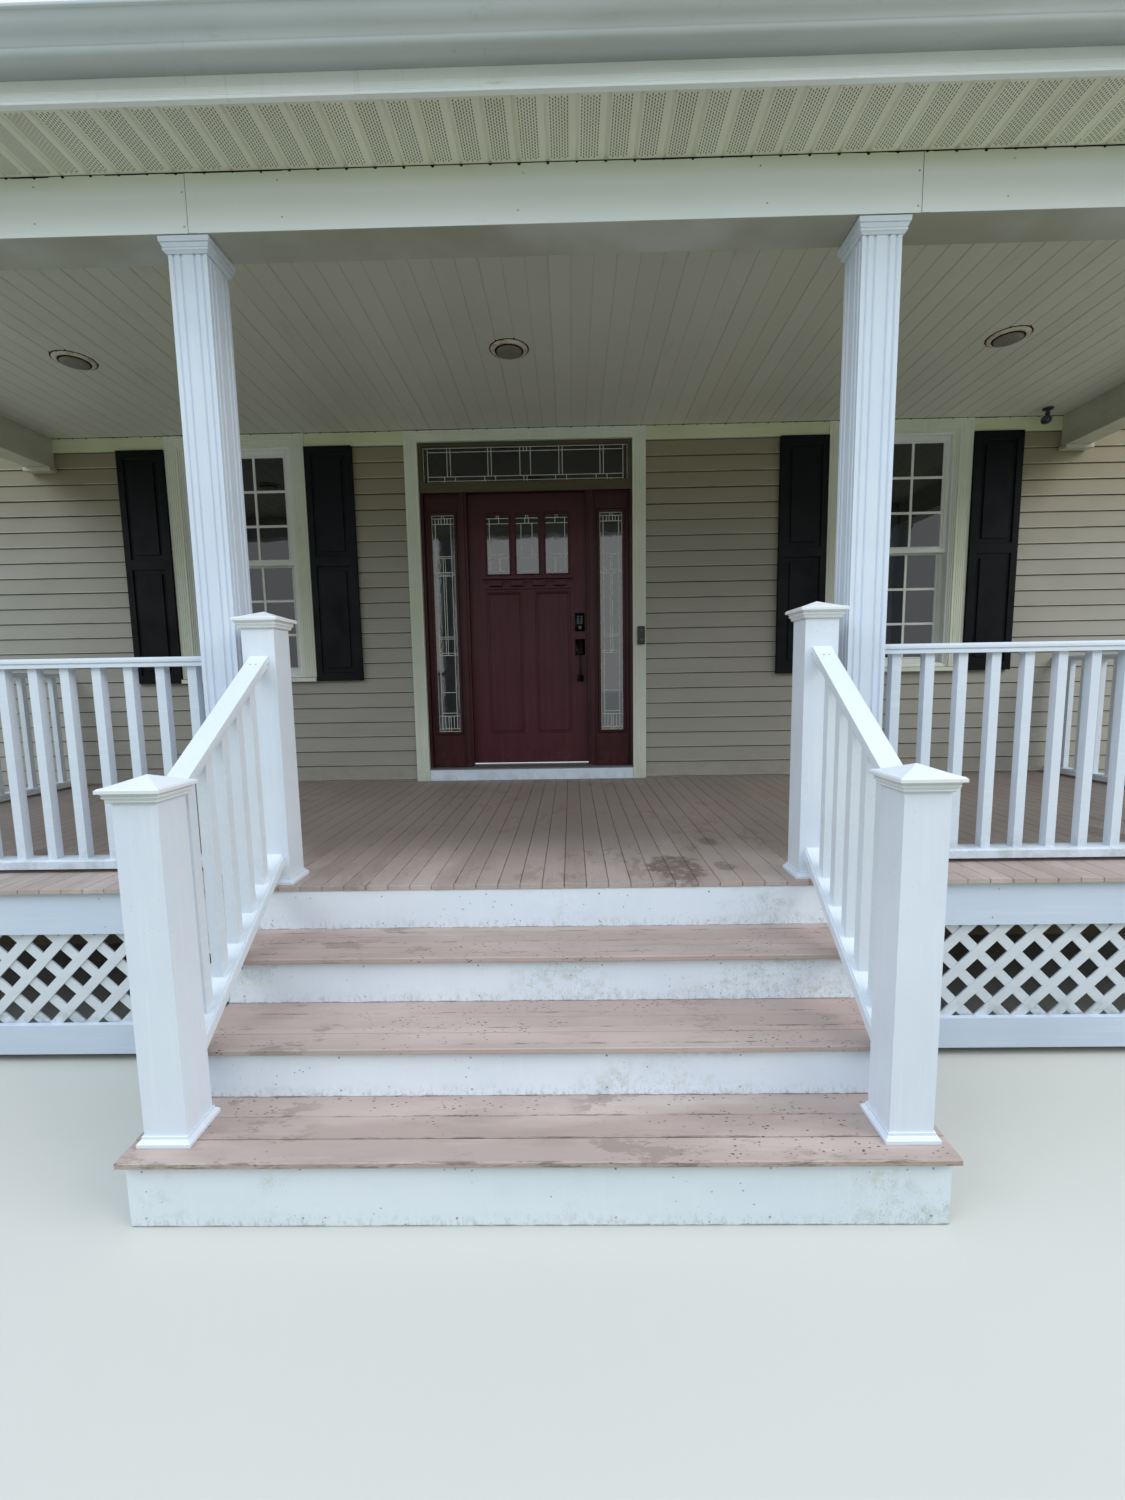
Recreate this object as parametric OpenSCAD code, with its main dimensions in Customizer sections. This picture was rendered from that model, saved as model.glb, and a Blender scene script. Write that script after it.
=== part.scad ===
// Covered front porch of a house: four fluted columns, steps with newels,
// railings, lattice skirts, a boxed beam, a low shed roof and the house wall
// behind it with an entrance door, sidelights, transom and two windows.
// Units are millimetres. X is to the right, Y goes into the house, Z is up.
// Y is measured from the face of the casings until place() centres it.

/* [Porch] */
// spacing of the columns, centre to centre
bay = 2504; // [1800:1:3200]
// height of the deck above the ground
deck_h = 715; // [500:1:900]
// wall face to the front face of the beam
porch_depth = 2313; // [1800:1:3000]
// clear height from the deck to the ceiling
room_h = 2583; // [2300:1:3000]
// deck edge beyond the front face of the beam
deck_overhang = 148; // [100:1:300]
// top of the stair rails above the deck, at the top newels
stair_rail_up = 863; // [750:1:1000]
// thickness of the floor boards and treads
board_t = 19; // [15:1:40]
// height of the white board under the deck edge
rim_h = 170; // [100:1:260]

/* [Columns] */
// width of the square column shaft
col_w = 142; // [100:1:220]
// diameter of the flutes
flute_d = 10; // [6:1:16]
// distance of the outer flutes from the middle of a face
flute_out = 52; // [40:1:60]
// distance of the inner flutes from the middle of a face
flute_in = 25; // [15:1:32]
// how far the capital stands out of the shaft
cap_out = 22; // [10:1:40]
// height of the stepped capital
capital_h = 50; // [30:1:90]

/* [Beam and ceiling] */
// width of the boxed beam
beam_w = 168; // [120:1:260]
// bottom of the beam below the ceiling
beam_drop = 215; // [120:1:400]
// step from the ceiling down to the eave soffit
soffit_step = 16; // [0:1:60]
// thickness of the ceiling and soffit panels
panel_t = 10; // [6:1:20]
// outer diameter of a recessed light's ring
light_d = 206; // [140:1:260]
// height of the crown trim plate under a side beam's wall end
trim_plate_h = 28; // [15:1:50]

/* [Roof] */
// rise of the roof in a run of 1
roof_rise = 0.25; // [0.1:0.01:0.6]
// overhang of the eave and the rakes
eave = 257; // [150:1:500]
// height of the fascia board
fascia_h = 160; // [120:1:260]
// depth of a rafter, square to the roof
rafter_h = 110; // [80:1:180]
// thickness of the roof boards
roof_t = 18; // [12:1:30]
// thickness of the shingle layer
shingle_t = 12; // [8:1:25]
// width of the gutter at its top
gutter_w = 127; // [100:1:160]
// height of the gutter
gutter_h = 89; // [70:1:120]

/* [Steps] */
// top of the bottom tread
tread1_h = 208; // [150:1:260]
// run of one step
run = 250; // [220:1:320]
// depth of the bottom tread
tread1_d = 288; // [250:1:450]
// half the width of the upper treads
tread_half = 1085; // [700:1:1400]
// extra half width of the bottom tread
tread1_extra = 40; // [0:1:150]
// nosing of the treads over the risers
nosing = 24; // [10:1:40]
// thickness of a riser board
riser_t = 20; // [12:1:30]

/* [Newels and rails] */
// width of a newel post
newel_w = 120; // [90:1:150]
// distance of the newels from the middle of the steps
newel_x = 1024; // [600:1:1300]
// top of a bottom newel above the end of its rail
newel1_over = 6; // [2:1:60]
// top of a top newel above the end of its rail
newel2_over = 99; // [2:1:200]
// width of a top rail
rail_w = 69; // [50:1:90]
// height of a top rail
rail_h = 38; // [30:1:60]
// top of the deck rail above the deck
rail_top = 875; // [750:1:1100]
// space under the bottom rail
rail_gap = 17; // [10:1:90]
// width of the bottom rails
low_rail_w = 84; // [50:1:100]
// height of the bottom rails
low_rail_h = 38; // [30:1:60]
// width of a square baluster
bal_w = 36; // [28:1:50]
// greatest spacing of the balusters
bal_pitch = 129.2; // [100:0.1:150]
// distance of the first baluster from its post
bal_first = 74; // [50:1:110]

/* [Lattice] */
// width of a lattice slat
slat_w = 38; // [25:1:50]
// spacing of the slats, square to their length
slat_pitch = 100; // [70:1:140]
// thickness of a slat
slat_t = 7; // [5:1:12]
// height of the board under the lattice
skirt_h = 123; // [80:1:160]
// gap between that board and the ground
skirt_gap = 33; // [0:1:60]

/* [House wall] */
// how far the wall runs past the ends of the roof
wall_past = 353; // [10:1:400]
// thickness of the framed wall
wall_t = 170; // [120:1:220]
// height of one siding course
course = 112.3; // [90:0.1:200]
// height of the frieze board under the ceiling
frieze_h = 98; // [60:1:160]
// top of the foundation above the ground
found_h = 600; // [400:1:700]

/* [Door] */
// middle of the door from the middle of the porch
door_x = -198; // [-600:1:600]
// width of the door slab
slab_w = 914; // [760:1:1000]
// height of the door slab
slab_h = 2032; // [1900:1:2200]
// thickness of the door slab
slab_t = 44; // [35:1:50]
// bottom of the slab above the deck
slab_up = 123; // [90:1:160]
// gap round the slab
door_gap = 6; // [5:1:8]
// width of one sidelight panel
side_w = 266; // [200:1:360]
// width of the glass of a sidelight
side_glass_w = 170; // [100:1:200]
// height of the transom window
transom_h = 289; // [180:1:320]
// width of the casing boards
casing_w = 96; // [70:1:130]
// how far the door turns, in degrees
door_turn = 100; // [60:1:120]

/* [Windows] */
// middle of the left window
win_left_x = -2328; // [-2800:1:-2100]
// middle of the right window
win_right_x = 2525; // [2100:1:2900]
// width of the window unit inside its casing
win_w = 814; // [600:1:1000]
// bottom of the window opening above the deck
win_sill = 815; // [600:1:1000]
// width of a shutter
shutter_w = 350; // [250:1:450]
// height of a shutter
shutter_h = 1700; // [1400:1:1800]
// thickness of a shutter
shutter_t = 30; // [20:1:40]

/* [Hidden] */
fit = 0.3;
eps = 1;
ceil_z = deck_h + room_h;
beam_z = ceil_z - beam_drop;
soffit_z = ceil_z - soffit_step;
deck_front = -(porch_depth + deck_overhang);
half = 1.5 * bay;
side_in = half - beam_w / 2;
side_out = half + beam_w / 2;
deck_half = side_out + 20;
col_y = -(porch_depth - 24 - col_w / 2);
col_xs = [-1.5 * bay, -0.5 * bay, 0.5 * bay, 1.5 * bay];
col_h = beam_z - deck_h;
// the base trims of the columns end under the bottom rails
base_h = rail_gap - fit;
sheath_y = 20;
wall_back = sheath_y + wall_t;
roof_half = side_out + eave;
wall_half = roof_half + wall_past;
eave_y = -(porch_depth + eave);
fascia_t = 20;
fascia_z = soffit_z - 8;
roof_cos = 1 / sqrt(1 + roof_rise * roof_rise);
// top of the rafters above the fascia, and at the wall
rafter_top = fascia_z + fascia_h - 6;
function rafter_z(y) = rafter_top + (y - eave_y) * roof_rise;
roof_skin = (roof_t + shingle_t) / roof_cos;
wall_top = rafter_z(sheath_y) + roof_skin + 190;
step_h = (deck_h - tread1_h) / 3;
tread3_y = deck_front - run;
tread2_y = tread3_y - run;
tread1_y = tread2_y + nosing - tread1_d + 26;
tread1_half = tread_half + tread1_extra;
newel1_y = tread2_y - newel_w / 2 - 50;
newel2_y = deck_front + newel_w / 2 + 31;
rail_slope = step_h / run * 1.05;
stair_rail_z = deck_h + stair_rail_up;
stair_low_z = deck_h + 118;
rail_drop = (newel2_y - newel1_y - newel_w) * rail_slope;
newel1_h = stair_rail_z - rail_drop + newel1_over - tread1_h;
newel2_h = stair_rail_up + newel2_over;
door_z = deck_h + slab_up;
slab_y = 85;
slab_x0 = door_x - slab_w / 2;
open_half = slab_w / 2 + door_gap;
stop_half = open_half - 19;
mull_half = open_half + 35;
unit_half = mull_half + side_w + 22;
jamb_y0 = 25;
jamb_y1 = slab_y + slab_t;
head_z = door_z + slab_h + door_gap;
bar_h = 51;
transom_z = head_z + bar_h;
unit_top = transom_z + transom_h;
win_z = deck_h + win_sill;
// inner bead of the window casings, and the faces of the window frames and sashes
win_bead = 12;
win_frame = 26;
sash_face = 38;
glass_half = win_w / 2 - win_frame - sash_face;
win_cas_half = win_w / 2 + win_bead + casing_w;
shutter_z = deck_h + 783;
win_xs = [win_left_x, win_right_x];
bell_z = deck_h + 1083;
// front to back middle of the whole piece, so that the origin is under it
y_shift = -(tread1_y + wall_back) / 2;

module box(x0, x1, y0, y1, z0, z1) {
  translate([x0, y0, z0]) cube([x1 - x0, y1 - y0, z1 - z0]);
}

// a profile drawn in (y, z) and run along X from x0 to x1
module along_x(x0, x1) {
  translate([x0, 0, 0]) rotate([90, 0, 90]) linear_extrude(x1 - x0) children();
}

module along_y(y0, y1) {
  translate([0, y1, 0]) rotate([90, 0, 0]) linear_extrude(y1 - y0) children();
}

// a square frustum, w0 wide at the bottom and w1 at the top
module square_step(w0, w1, h) {
  rotate(45) cylinder(r1 = w0 / sqrt(2), r2 = w1 / sqrt(2), h = h, $fn = 4);
}

// base trim round a square post, w wide, that stands in its middle
module collar(w) {
  difference() {
    union() children();
    translate([-w / 2 - fit, -w / 2 - fit, -eps]) cube([w + 2 * fit, w + 2 * fit, 100]);
  }
}

module mirrored() {
  children();
  mirror([1, 0, 0]) children();
}

module place() {
  translate([0, y_shift, 0]) children();
}

// House wall

module foundation_wall() {
  color("#9b978f") box(-wall_half, wall_half, sheath_y, wall_back, 0, found_h);
}

module sill_beam() {
  color("#8a7458") box(-wall_half, wall_half, sheath_y, wall_back, found_h, deck_h);
}

module wall_slab(x0, x1, xw) {
  color("#cfc9bb") difference() {
    box(x0, x1, sheath_y, wall_back, deck_h, wall_top);
    box(xw - win_w / 2, xw + win_w / 2, 0, wall_back + 10, win_z, unit_top);
  }
}

module wall_left() {
  wall_slab(-wall_half, door_x - unit_half, win_left_x);
}

module wall_right() {
  wall_slab(door_x + unit_half, wall_half, win_right_x);
}

module wall_over_door() {
  color("#cfc9bb")
    box(door_x - unit_half, door_x + unit_half, sheath_y, wall_back, unit_top, wall_top);
}

// lap siding: every course leans out to its drip edge
module lap_profile(n) {
  polygon(concat(
    [[sheath_y, 0]],
    [for (i = [0:n - 1]) each [[3, i * course], [3, i * course + 5], [13, (i + 1) * course]]],
    [[sheath_y, n * course]]
  ));
}

siding_z0 = deck_h + 15;
frieze_z = ceil_z - frieze_h;
// outside the porch the siding starts one course lower and ends at the rake
siding_out_z0 = siding_z0 - course;
siding_out_z1 = rafter_z(0) - 92;
siding_up_z0 = rafter_z(sheath_y) + roof_skin + 12;

// the courses of all stretches line up with each other
module siding(x0, x1, z0, z1) {
  n = ceil((z1 - siding_out_z0) / course);
  intersection() {
    translate([0, 0, siding_out_z0]) along_x(x0, x1) lap_profile(n);
    box(x0, x1, -20, sheath_y + 5, z0, z1);
  }
}

module siding_side(s, x_door, xw) {
  difference() {
    siding(min(s * side_out, x_door), max(s * side_out, x_door), siding_z0, frieze_z - fit);
    box(xw - win_cas_half - fit, xw + win_cas_half + fit, -40, 40, win_z - 42, ceil_z);
  }
  siding(s > 0 ? side_out : -wall_half, s > 0 ? wall_half : -side_out, siding_z0, siding_out_z1);
  siding(s > 0 ? roof_half + 14 : -wall_half, s > 0 ? wall_half : -roof_half - 14,
    siding_out_z1 - eps, siding_up_z0 + eps);
  siding(s > 0 ? deck_half + fit : -wall_half, s > 0 ? wall_half : -deck_half - fit,
    siding_out_z0, siding_z0);
}

module wall_siding() {
  color("#b3a78d") {
    siding_side(-1, door_x - unit_half - casing_w - fit, win_left_x);
    siding_side(1, door_x + unit_half + casing_w + fit, win_right_x);
    siding(-wall_half, wall_half, siding_up_z0, wall_top);
  }
}

module frieze_board() {
  color("#e4e8e6") difference() {
    box(-side_in + fit, side_in - fit, -6, sheath_y - fit, frieze_z, ceil_z - fit);
    box(door_x - unit_half - casing_w - fit, door_x + unit_half + casing_w + fit,
      -40, 40, frieze_z - 5, ceil_z + 5);
    for (x = win_xs)
      box(x - win_cas_half - fit, x + win_cas_half + fit, -40, 40, frieze_z - 5, ceil_z + 5);
  }
}

// Casings

// a fluted board, drawn across its width from x = 0, front towards -Y
module casing_section(w) {
  difference() {
    translate([0, -12]) square([w, 31.7]);
    for (i = [0:4]) translate([w * (0.18 + 0.16 * i), -12]) circle(d = 7, $fn = 16);
  }
}

// the side of a mitre that is cut away: up is 1 for what is above its line, -1 for what is below
module mitre(outer, inner, top, low, up) {
  dx = (inner - outer) * 0.2;
  dz = (top - low) * 0.2;
  along_y(-40, 40) polygon([[outer - dx, top + dz], [inner + dx, low - dz],
    [inner + dx, up > 0 ? top + 60 : low - 60], [outer - dx, up > 0 ? top + 60 : low - 60]]);
}

// an upright between its outer and its inner edge
module casing_leg(outer, inner, z0) {
  top = ceil_z - 2 * fit;
  difference() {
    translate([min(outer, inner), 0, z0]) linear_extrude(top - z0) casing_section(casing_w);
    mitre(outer, inner, top, unit_top - fit, 1);
  }
}

module casing_head(x0, x1) {
  h = ceil_z - fit - unit_top;
  difference() {
    translate([x0, 0, unit_top + h]) rotate([0, 90, 0]) linear_extrude(x1 - x0) casing_section(h);
    mitre(x0, x0 + casing_w, ceil_z - fit, unit_top, -1);
    mitre(x1, x1 - casing_w, ceil_z - fit, unit_top, -1);
  }
}

module door_casing() {
  color("#e9edef") {
    x0 = door_x - unit_half - casing_w;
    x1 = door_x + unit_half + casing_w;
    casing_leg(x0, x0 + casing_w, deck_h + fit);
    casing_leg(x1, x1 - casing_w, deck_h + fit);
    casing_head(x0, x1);
  }
}

module window_casings() {
  color("#e9edef") for (x = win_xs) {
    for (s = [-1, 1])
      casing_leg(x + s * win_cas_half, x + s * (win_cas_half - casing_w), win_z + fit);
    casing_head(x - win_cas_half, x + win_cas_half);
    difference() {
      box(x - win_w / 2 - win_bead + fit, x + win_w / 2 + win_bead - fit, -5, 19.7,
        win_z + fit, unit_top - fit);
      box(x - win_w / 2, x + win_w / 2, -10, 30, win_z - 5, unit_top - win_bead);
    }
    along_x(x - win_cas_half, x + win_cas_half)
      polygon([[-34, win_z - 34], [-34, win_z - 6], [19.7, win_z], [19.7, win_z - 34]]);
  }
}

// Door unit

// side jambs, mullions with their stops, and the head
module door_frame() {
  color("#5e2a2c") translate([door_x, 0, 0]) {
    mirrored() {
      box(unit_half - 22, unit_half - fit, jamb_y0, jamb_y1, deck_h + 82, head_z - fit);
      box(open_half, mull_half, jamb_y0, jamb_y1, deck_h + 82, head_z - fit);
      box(stop_half, open_half + eps, jamb_y0 + 10, slab_y - door_gap, deck_h + 112 + fit,
        head_z - 12 - fit);
    }
    box(-unit_half + fit, unit_half - fit, jamb_y0, jamb_y1, head_z, transom_z - fit);
    box(-open_half + fit, open_half - fit, jamb_y0, slab_y - door_gap, head_z - 12, head_z + eps);
  }
}

module door_threshold() {
  color("#8f9294") translate([door_x, 0, 0]) difference() {
    along_x(-unit_half + fit, unit_half - fit)
      polygon([[-2, deck_h + 82], [-2, deck_h + 92], [60, deck_h + 112], [jamb_y1, deck_h + 112],
        [jamb_y1, deck_h + 82]]);
    mirrored() box(open_half - fit, unit_half + 5, jamb_y0 - fit, 200, deck_h, deck_h + 200);
  }
}

module door_sill_board() {
  color("#e9edef") translate([door_x, 0, 0])
    box(-unit_half + fit, unit_half - fit, -6, wall_back, deck_h + fit, deck_h + 82 - fit);
}

module glass_cut(x, w, z0, z1) {
  box(x - w / 2, x + w / 2, -50, 200, z0, z1);
}

side_x = mull_half + side_w / 2;
side_gz0 = door_z + 249;
side_gz1 = door_z + 1879;

module sidelight_panels() {
  color("#5e2a2c") translate([door_x, 0, 0]) mirrored() difference() {
    union() {
      box(mull_half + fit, unit_half - 22 - fit, 62, 106, deck_h + 112 - 30 + fit, head_z - fit);
      box(side_x - side_glass_w / 2 - 22, side_x + side_glass_w / 2 + 22, 54, 62 + eps,
        side_gz0 - 22, side_gz1 + 22);
    }
    glass_cut(side_x, side_glass_w, side_gz0, side_gz1);
  }
}

tr_bar = 30;

module transom_frame() {
  color("#5c5542") translate([door_x, 0, 0]) difference() {
    union() {
      box(-unit_half + fit, unit_half - fit, 12, 118, transom_z, unit_top - fit);
      box(-unit_half + fit, unit_half - fit, 12, jamb_y0 - fit, head_z - 12, transom_z + eps);
    }
    box(-unit_half + tr_bar, unit_half - tr_bar, 0, 200, transom_z + 8, unit_top - 26);
  }
}

module entry_glass() {
  color([0.55, 0.62, 0.66, 0.5]) translate([door_x, 0, 0]) {
    mirrored() box(side_x - side_glass_w / 2, side_x + side_glass_w / 2, 76, 90, side_gz0, side_gz1);
    box(-unit_half + tr_bar, unit_half - tr_bar, 50, 64, transom_z + 8, unit_top - 26);
  }
}

shelf_half = 338;
dentil_w = 95;
dentil_pitch = 163;
lite_w = 180;
lite_h = 443;
lite_gap = 42;
lite_z = door_z + 1438;
lite_xs = [-(lite_w + lite_gap), 0, lite_w + lite_gap];

// a framed door: three lites over a bracketed shelf over two tall panels
module door_slab() {
  color("#5e2428") translate([door_x, slab_y, door_z]) {
    difference() {
      box(-slab_w / 2, slab_w / 2, 0, slab_t, 0, slab_h);
      for (x = lite_xs) box(x - lite_w / 2, x + lite_w / 2, -50, 100, 1438, 1438 + lite_h);
      for (s = [-1, 1]) for (y = [-eps, slab_t - 9])
        box(s * 185 - 134, s * 185 + 134, y, y + 9 + eps, 232, 1310);
    }
    box(-shelf_half, shelf_half, -34, -fit, 1402, 1426);
    box(-shelf_half + 5, shelf_half - 5, -12, -fit, 1386, 1402 + eps);
    for (i = [-1.5:1:1.5])
      box(i * dentil_pitch - dentil_w / 2, i * dentil_pitch + dentil_w / 2, -26, -fit,
        1354, 1386 + eps);
    box(-shelf_half, shelf_half, -5, -fit, 1330, 1338);
  }
}

module door_glass() {
  color([0.6, 0.68, 0.74, 0.5]) translate([door_x, slab_y, 0])
    for (x = lite_xs) box(x - lite_w / 2, x + lite_w / 2, 14, 30, lite_z, lite_z + lite_h);
}

lock_x = door_x + slab_w / 2 - 68;

module door_lock() {
  color("#1f1e1f") translate([lock_x, slab_y, door_z + 1074]) {
    box(-36, 36, -26, 0, -66, 66);
    translate([0, slab_t, -6]) rotate([-90, 0, 0]) cylinder(d = 62, h = 20, $fn = 48);
  }
}

// plate with a thumb piece over a bowed grip outside, and a lever inside
module door_handle_set() {
  color("#1f1e1f") translate([lock_x, slab_y, door_z + 886]) {
    box(-36, 36, -12, 0, -60, 60);
    box(-14, 14, -34, -11, -34, -22);
    translate([0, 0, 0]) rotate([0, -90, 0]) translate([0, 0, -10]) linear_extrude(20) difference() {
      polygon([[-46, 0], [-46, -48], [-70, -62], [-215, -62], [-240, -46], [-240, 0]]);
      polygon([[-58, 5], [-58, -40], [-76, -48], [-208, -48], [-224, -40], [-224, 5]]);
    }
    box(-24, 24, -10, 0, -262, -214);
    translate([0, slab_t, 0]) rotate([-90, 0, 0]) {
      cylinder(d = 66, h = 12, $fn = 48);
      cylinder(d = 20, h = 48, $fn = 24);
    }
    box(-112, 12, slab_t + 36, slab_t + 50, -10, 10);
  }
}

hinge_x = slab_x0 - door_gap / 2;
hinge_y = slab_y + slab_t + 8;
hinge_zs = [door_z + 230, door_z + slab_h / 2, door_z + slab_h - 230];

module door_hinges() {
  color("#2a2827") for (z = hinge_zs) {
    translate([hinge_x, hinge_y, z - 50]) cylinder(d = 12, h = 100, $fn = 24);
    box(hinge_x, hinge_x + 36, slab_y + slab_t, slab_y + slab_t + 3, z - 50, z + 50);
  }
}

module doorbell() {
  color("#17181a") translate([door_x + unit_half + casing_w * 0.62, -12, bell_z])
    box(-27, 27, -24, -fit, -66, 66);
}

// Windows and shutters

meet_z = win_z + 838;
sash_top = unit_top - win_frame + eps;
sash_low = win_z + 30 - eps;

// one sash, its front at y, with a glazing bead set back round the glass
module sash(x, z0, z1, y) {
  difference() {
    box(x - win_w / 2 + win_frame - 2, x + win_w / 2 - win_frame + 2, y, y + 34, z0, z1);
    box(x - glass_half - 12, x + glass_half + 12, y - 5, y + 7,
      z0 + sash_face - 12, z1 - sash_face + 12);
    box(x - glass_half, x + glass_half, y - 6, y + 60, z0 + sash_face, z1 - sash_face);
  }
}

module window_sashes() {
  color("#e6eaeb") for (x = win_xs) {
    difference() {
      box(x - win_w / 2 + fit, x + win_w / 2 - fit, 20, 120, win_z + fit, unit_top - fit);
      box(x - win_w / 2 + win_frame, x + win_w / 2 - win_frame, 0, 130,
        win_z + 30, unit_top - win_frame);
    }
    sash(x, meet_z, sash_top, 34);
    sash(x, sash_low, meet_z + sash_face - 2, 67);
  }
}

module window_glass() {
  color([0.35, 0.4, 0.44, 0.6]) for (x = win_xs) {
    box(x - glass_half, x + glass_half, 45, 57, meet_z + sash_face, sash_top - sash_face);
    box(x - glass_half, x + glass_half, 78, 90, sash_low + sash_face, meet_z - 2);
  }
}

shutter_panel = [[62, 845], [918, 1640]];

module shutter(x) {
  translate([x, 3 - fit, shutter_z]) difference() {
    box(-shutter_w / 2, shutter_w / 2, -shutter_t, 0, 0, shutter_h);
    for (p = shutter_panel) difference() {
      box(-shutter_w / 2 + 48, shutter_w / 2 - 48, -shutter_t - 1, -shutter_t + 12, p[0], p[1]);
      box(-shutter_w / 2 + 82, shutter_w / 2 - 82, -shutter_t - 2, -shutter_t + 13,
        p[0] + 34, p[1] - 34);
    }
  }
}

module shutters() {
  color("#16181d") for (x = win_xs) for (s = [-1, 1])
    shutter(x + s * (win_cas_half + shutter_w / 2 + 3));
}

// Deck

pier_xs = [-(half - 81), -bay / 2, bay / 2, half - 81];
pier_ys = [col_y + 10, -190];
frame_top = deck_h - board_t;
rim_z = frame_top - rim_h;
// joists stop above the lattice, which is fixed to them behind the rim boards
joist_z = rim_z + 20;
girder_h = 140;

module porch_piers() {
  color("#8d8a84") for (x = pier_xs) for (y = pier_ys) translate([x, y, 0]) {
    translate([-120, -120, 0]) cube([240, 240, 160]);
    translate([-57, -57, 160 + fit]) cube([114, 114, joist_z - girder_h - 160 - 2 * fit]);
  }
}

module deck_frame() {
  color("#8a7458") {
    x0 = -deck_half + 42;
    y0 = deck_front + 25 + riser_t;
    box(x0, -x0, y0, y0 + 38, joist_z, frame_top - fit);
    box(x0, -x0, -24, 14, joist_z, frame_top - fit);
    n = 14;
    // each joist hangs between the front joist and the ledger
    for (i = [0:n]) {
      x = x0 + i * (-2 * x0 - 38) / n;
      box(x, x + 38, y0 + 38 + fit, -24 - fit, joist_z, frame_top - fit);
    }
    for (y = pier_ys) box(x0 + 14, -x0 - 14, y - 38, y + 38, joist_z - girder_h, joist_z - fit);
  }
}

module deck_floor() {
  color("#8d7a70") box(-deck_half, deck_half, deck_front, sheath_y - fit,
    frame_top, deck_h);
}

module deck_rim_boards() {
  color("#dfe5ea") {
    y = deck_front + 25;
    box(-deck_half + 22, deck_half - 22, y, y + riser_t - fit, rim_z, frame_top - fit);
    mirrored() box(deck_half - 42 + fit, deck_half - 22, y + riser_t, sheath_y - fit,
      rim_z, frame_top - fit);
  }
}

// diagonal slats cut to a panel w wide and h high, in two fused layers
module lattice(w, h) {
  n = ceil((w + h) / (slat_pitch * sqrt(2)));
  for (k = [0, 1]) translate([0, k * (slat_t - 1), 0]) rotate([90, 0, 0])
    linear_extrude(slat_t) intersection() {
      square([w, h]);
      union() for (i = [-1:n]) translate([i * slat_pitch * sqrt(2) + (k == 0 ? -h : 0), 0])
        rotate(k == 0 ? 45 : 135) translate([-h, -slat_w / 2]) square([4 * h, slat_w]);
    }
}

lat_z0 = skirt_gap + skirt_h;
lat_h = rim_z - lat_z0;
lat_y = deck_front + 25 + riser_t;
// a panel runs from behind its bottom board up to the joists
lat_panel_h = lat_h + 40 - fit;

module lattice_front() {
  color("#dfe3e6") {
    x0 = tread_half + 2;
    w = deck_half - 44 - x0;
    for (x = [x0, -x0 - w]) translate([x, lat_y + slat_t, lat_z0 - 20]) lattice(w, lat_panel_h);
  }
}

module lattice_sides() {
  w = sheath_y - fit - (lat_y + 22);
  color("#dfe3e6") {
    translate([deck_half - 42 - 2 * slat_t + 7, lat_y + 22, lat_z0 - 20]) rotate(90)
      lattice(w, lat_panel_h);
    translate([-deck_half + 42 + 2 * slat_t - 8, lat_y + 22, lat_z0 - 20]) rotate(90)
      lattice(w, lat_panel_h);
  }
}

module lattice_boards() {
  color("#dfe5ea") mirrored() {
    x = deck_half - 22;
    y = deck_front + 25;
    t = riser_t - fit;
    box(tread_half + 2, x - 78 - fit, y, y + t, skirt_gap, lat_z0);
    box(x - t, x, y + 78 + fit, sheath_y - fit, skirt_gap, lat_z0);
    // corner boards
    box(x - 78, x, y, y + t, skirt_gap, rim_z - fit);
    box(x - t, x, y + t + fit, y + 78, skirt_gap, rim_z - fit);
  }
}

// Steps

module stringer_side() {
  z1 = tread1_h - board_t;
  z2 = z1 + step_h;
  z3 = z2 + step_h;
  y1 = tread1_y + nosing + riser_t;
  y2 = tread2_y + nosing + riser_t;
  y3 = tread3_y + nosing + riser_t;
  y4 = deck_front + 25 + riser_t - 45;
  polygon([[y1, 0], [y1, z1], [y2, z1], [y2, z2], [y3, z2], [y3, z3], [y4, z3],
    [y4, z3 - 200], [y1 + 330, 0]]);
}

module stair_stringers() {
  color("#d8dde0") for (x = [-tread_half + 12, -tread_half / 3, tread_half / 3 - 38, tread_half - 50])
    along_x(x, x + 38) stringer_side();
}

module riser(y, z0, z1, hw) {
  box(-hw, hw, y, y + riser_t, z0 + fit, z1 - fit);
}

module stair_risers() {
  color("#e3e6e8") {
    riser(tread1_y + nosing, -fit, tread1_h - board_t, tread1_half - 14);
    riser(tread2_y + nosing, tread1_h, tread1_h + step_h - board_t, tread_half - 6);
    riser(tread3_y + nosing, tread1_h + step_h, tread1_h + 2 * step_h - board_t, tread_half - 6);
    riser(deck_front + 5, tread1_h + 2 * step_h, deck_h - board_t, tread_half - 6);
    // end boards of the bottom step
    mirrored() box(tread1_half - 14 - riser_t, tread1_half - 14, tread1_y + nosing + riser_t + fit,
      tread2_y + nosing + riser_t, 0, tread1_h - board_t - fit);
  }
}

module tread(y0, y1, z, hw) {
  box(-hw, hw, y0, y1, z - board_t, z);
}

module stair_treads() {
  color("#8f7a72") {
    tread(tread1_y, tread2_y + nosing + riser_t, tread1_h, tread1_half);
    tread(tread2_y, tread3_y + nosing + riser_t, tread1_h + step_h, tread_half);
    tread(tread3_y, deck_front + 5 + riser_t, tread1_h + 2 * step_h, tread_half);
  }
}

// Newels

newel_spots = [[newel1_y, tread1_h, newel1_h], [newel2_y, deck_h, newel2_h]];
trim_out = 15;

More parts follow.
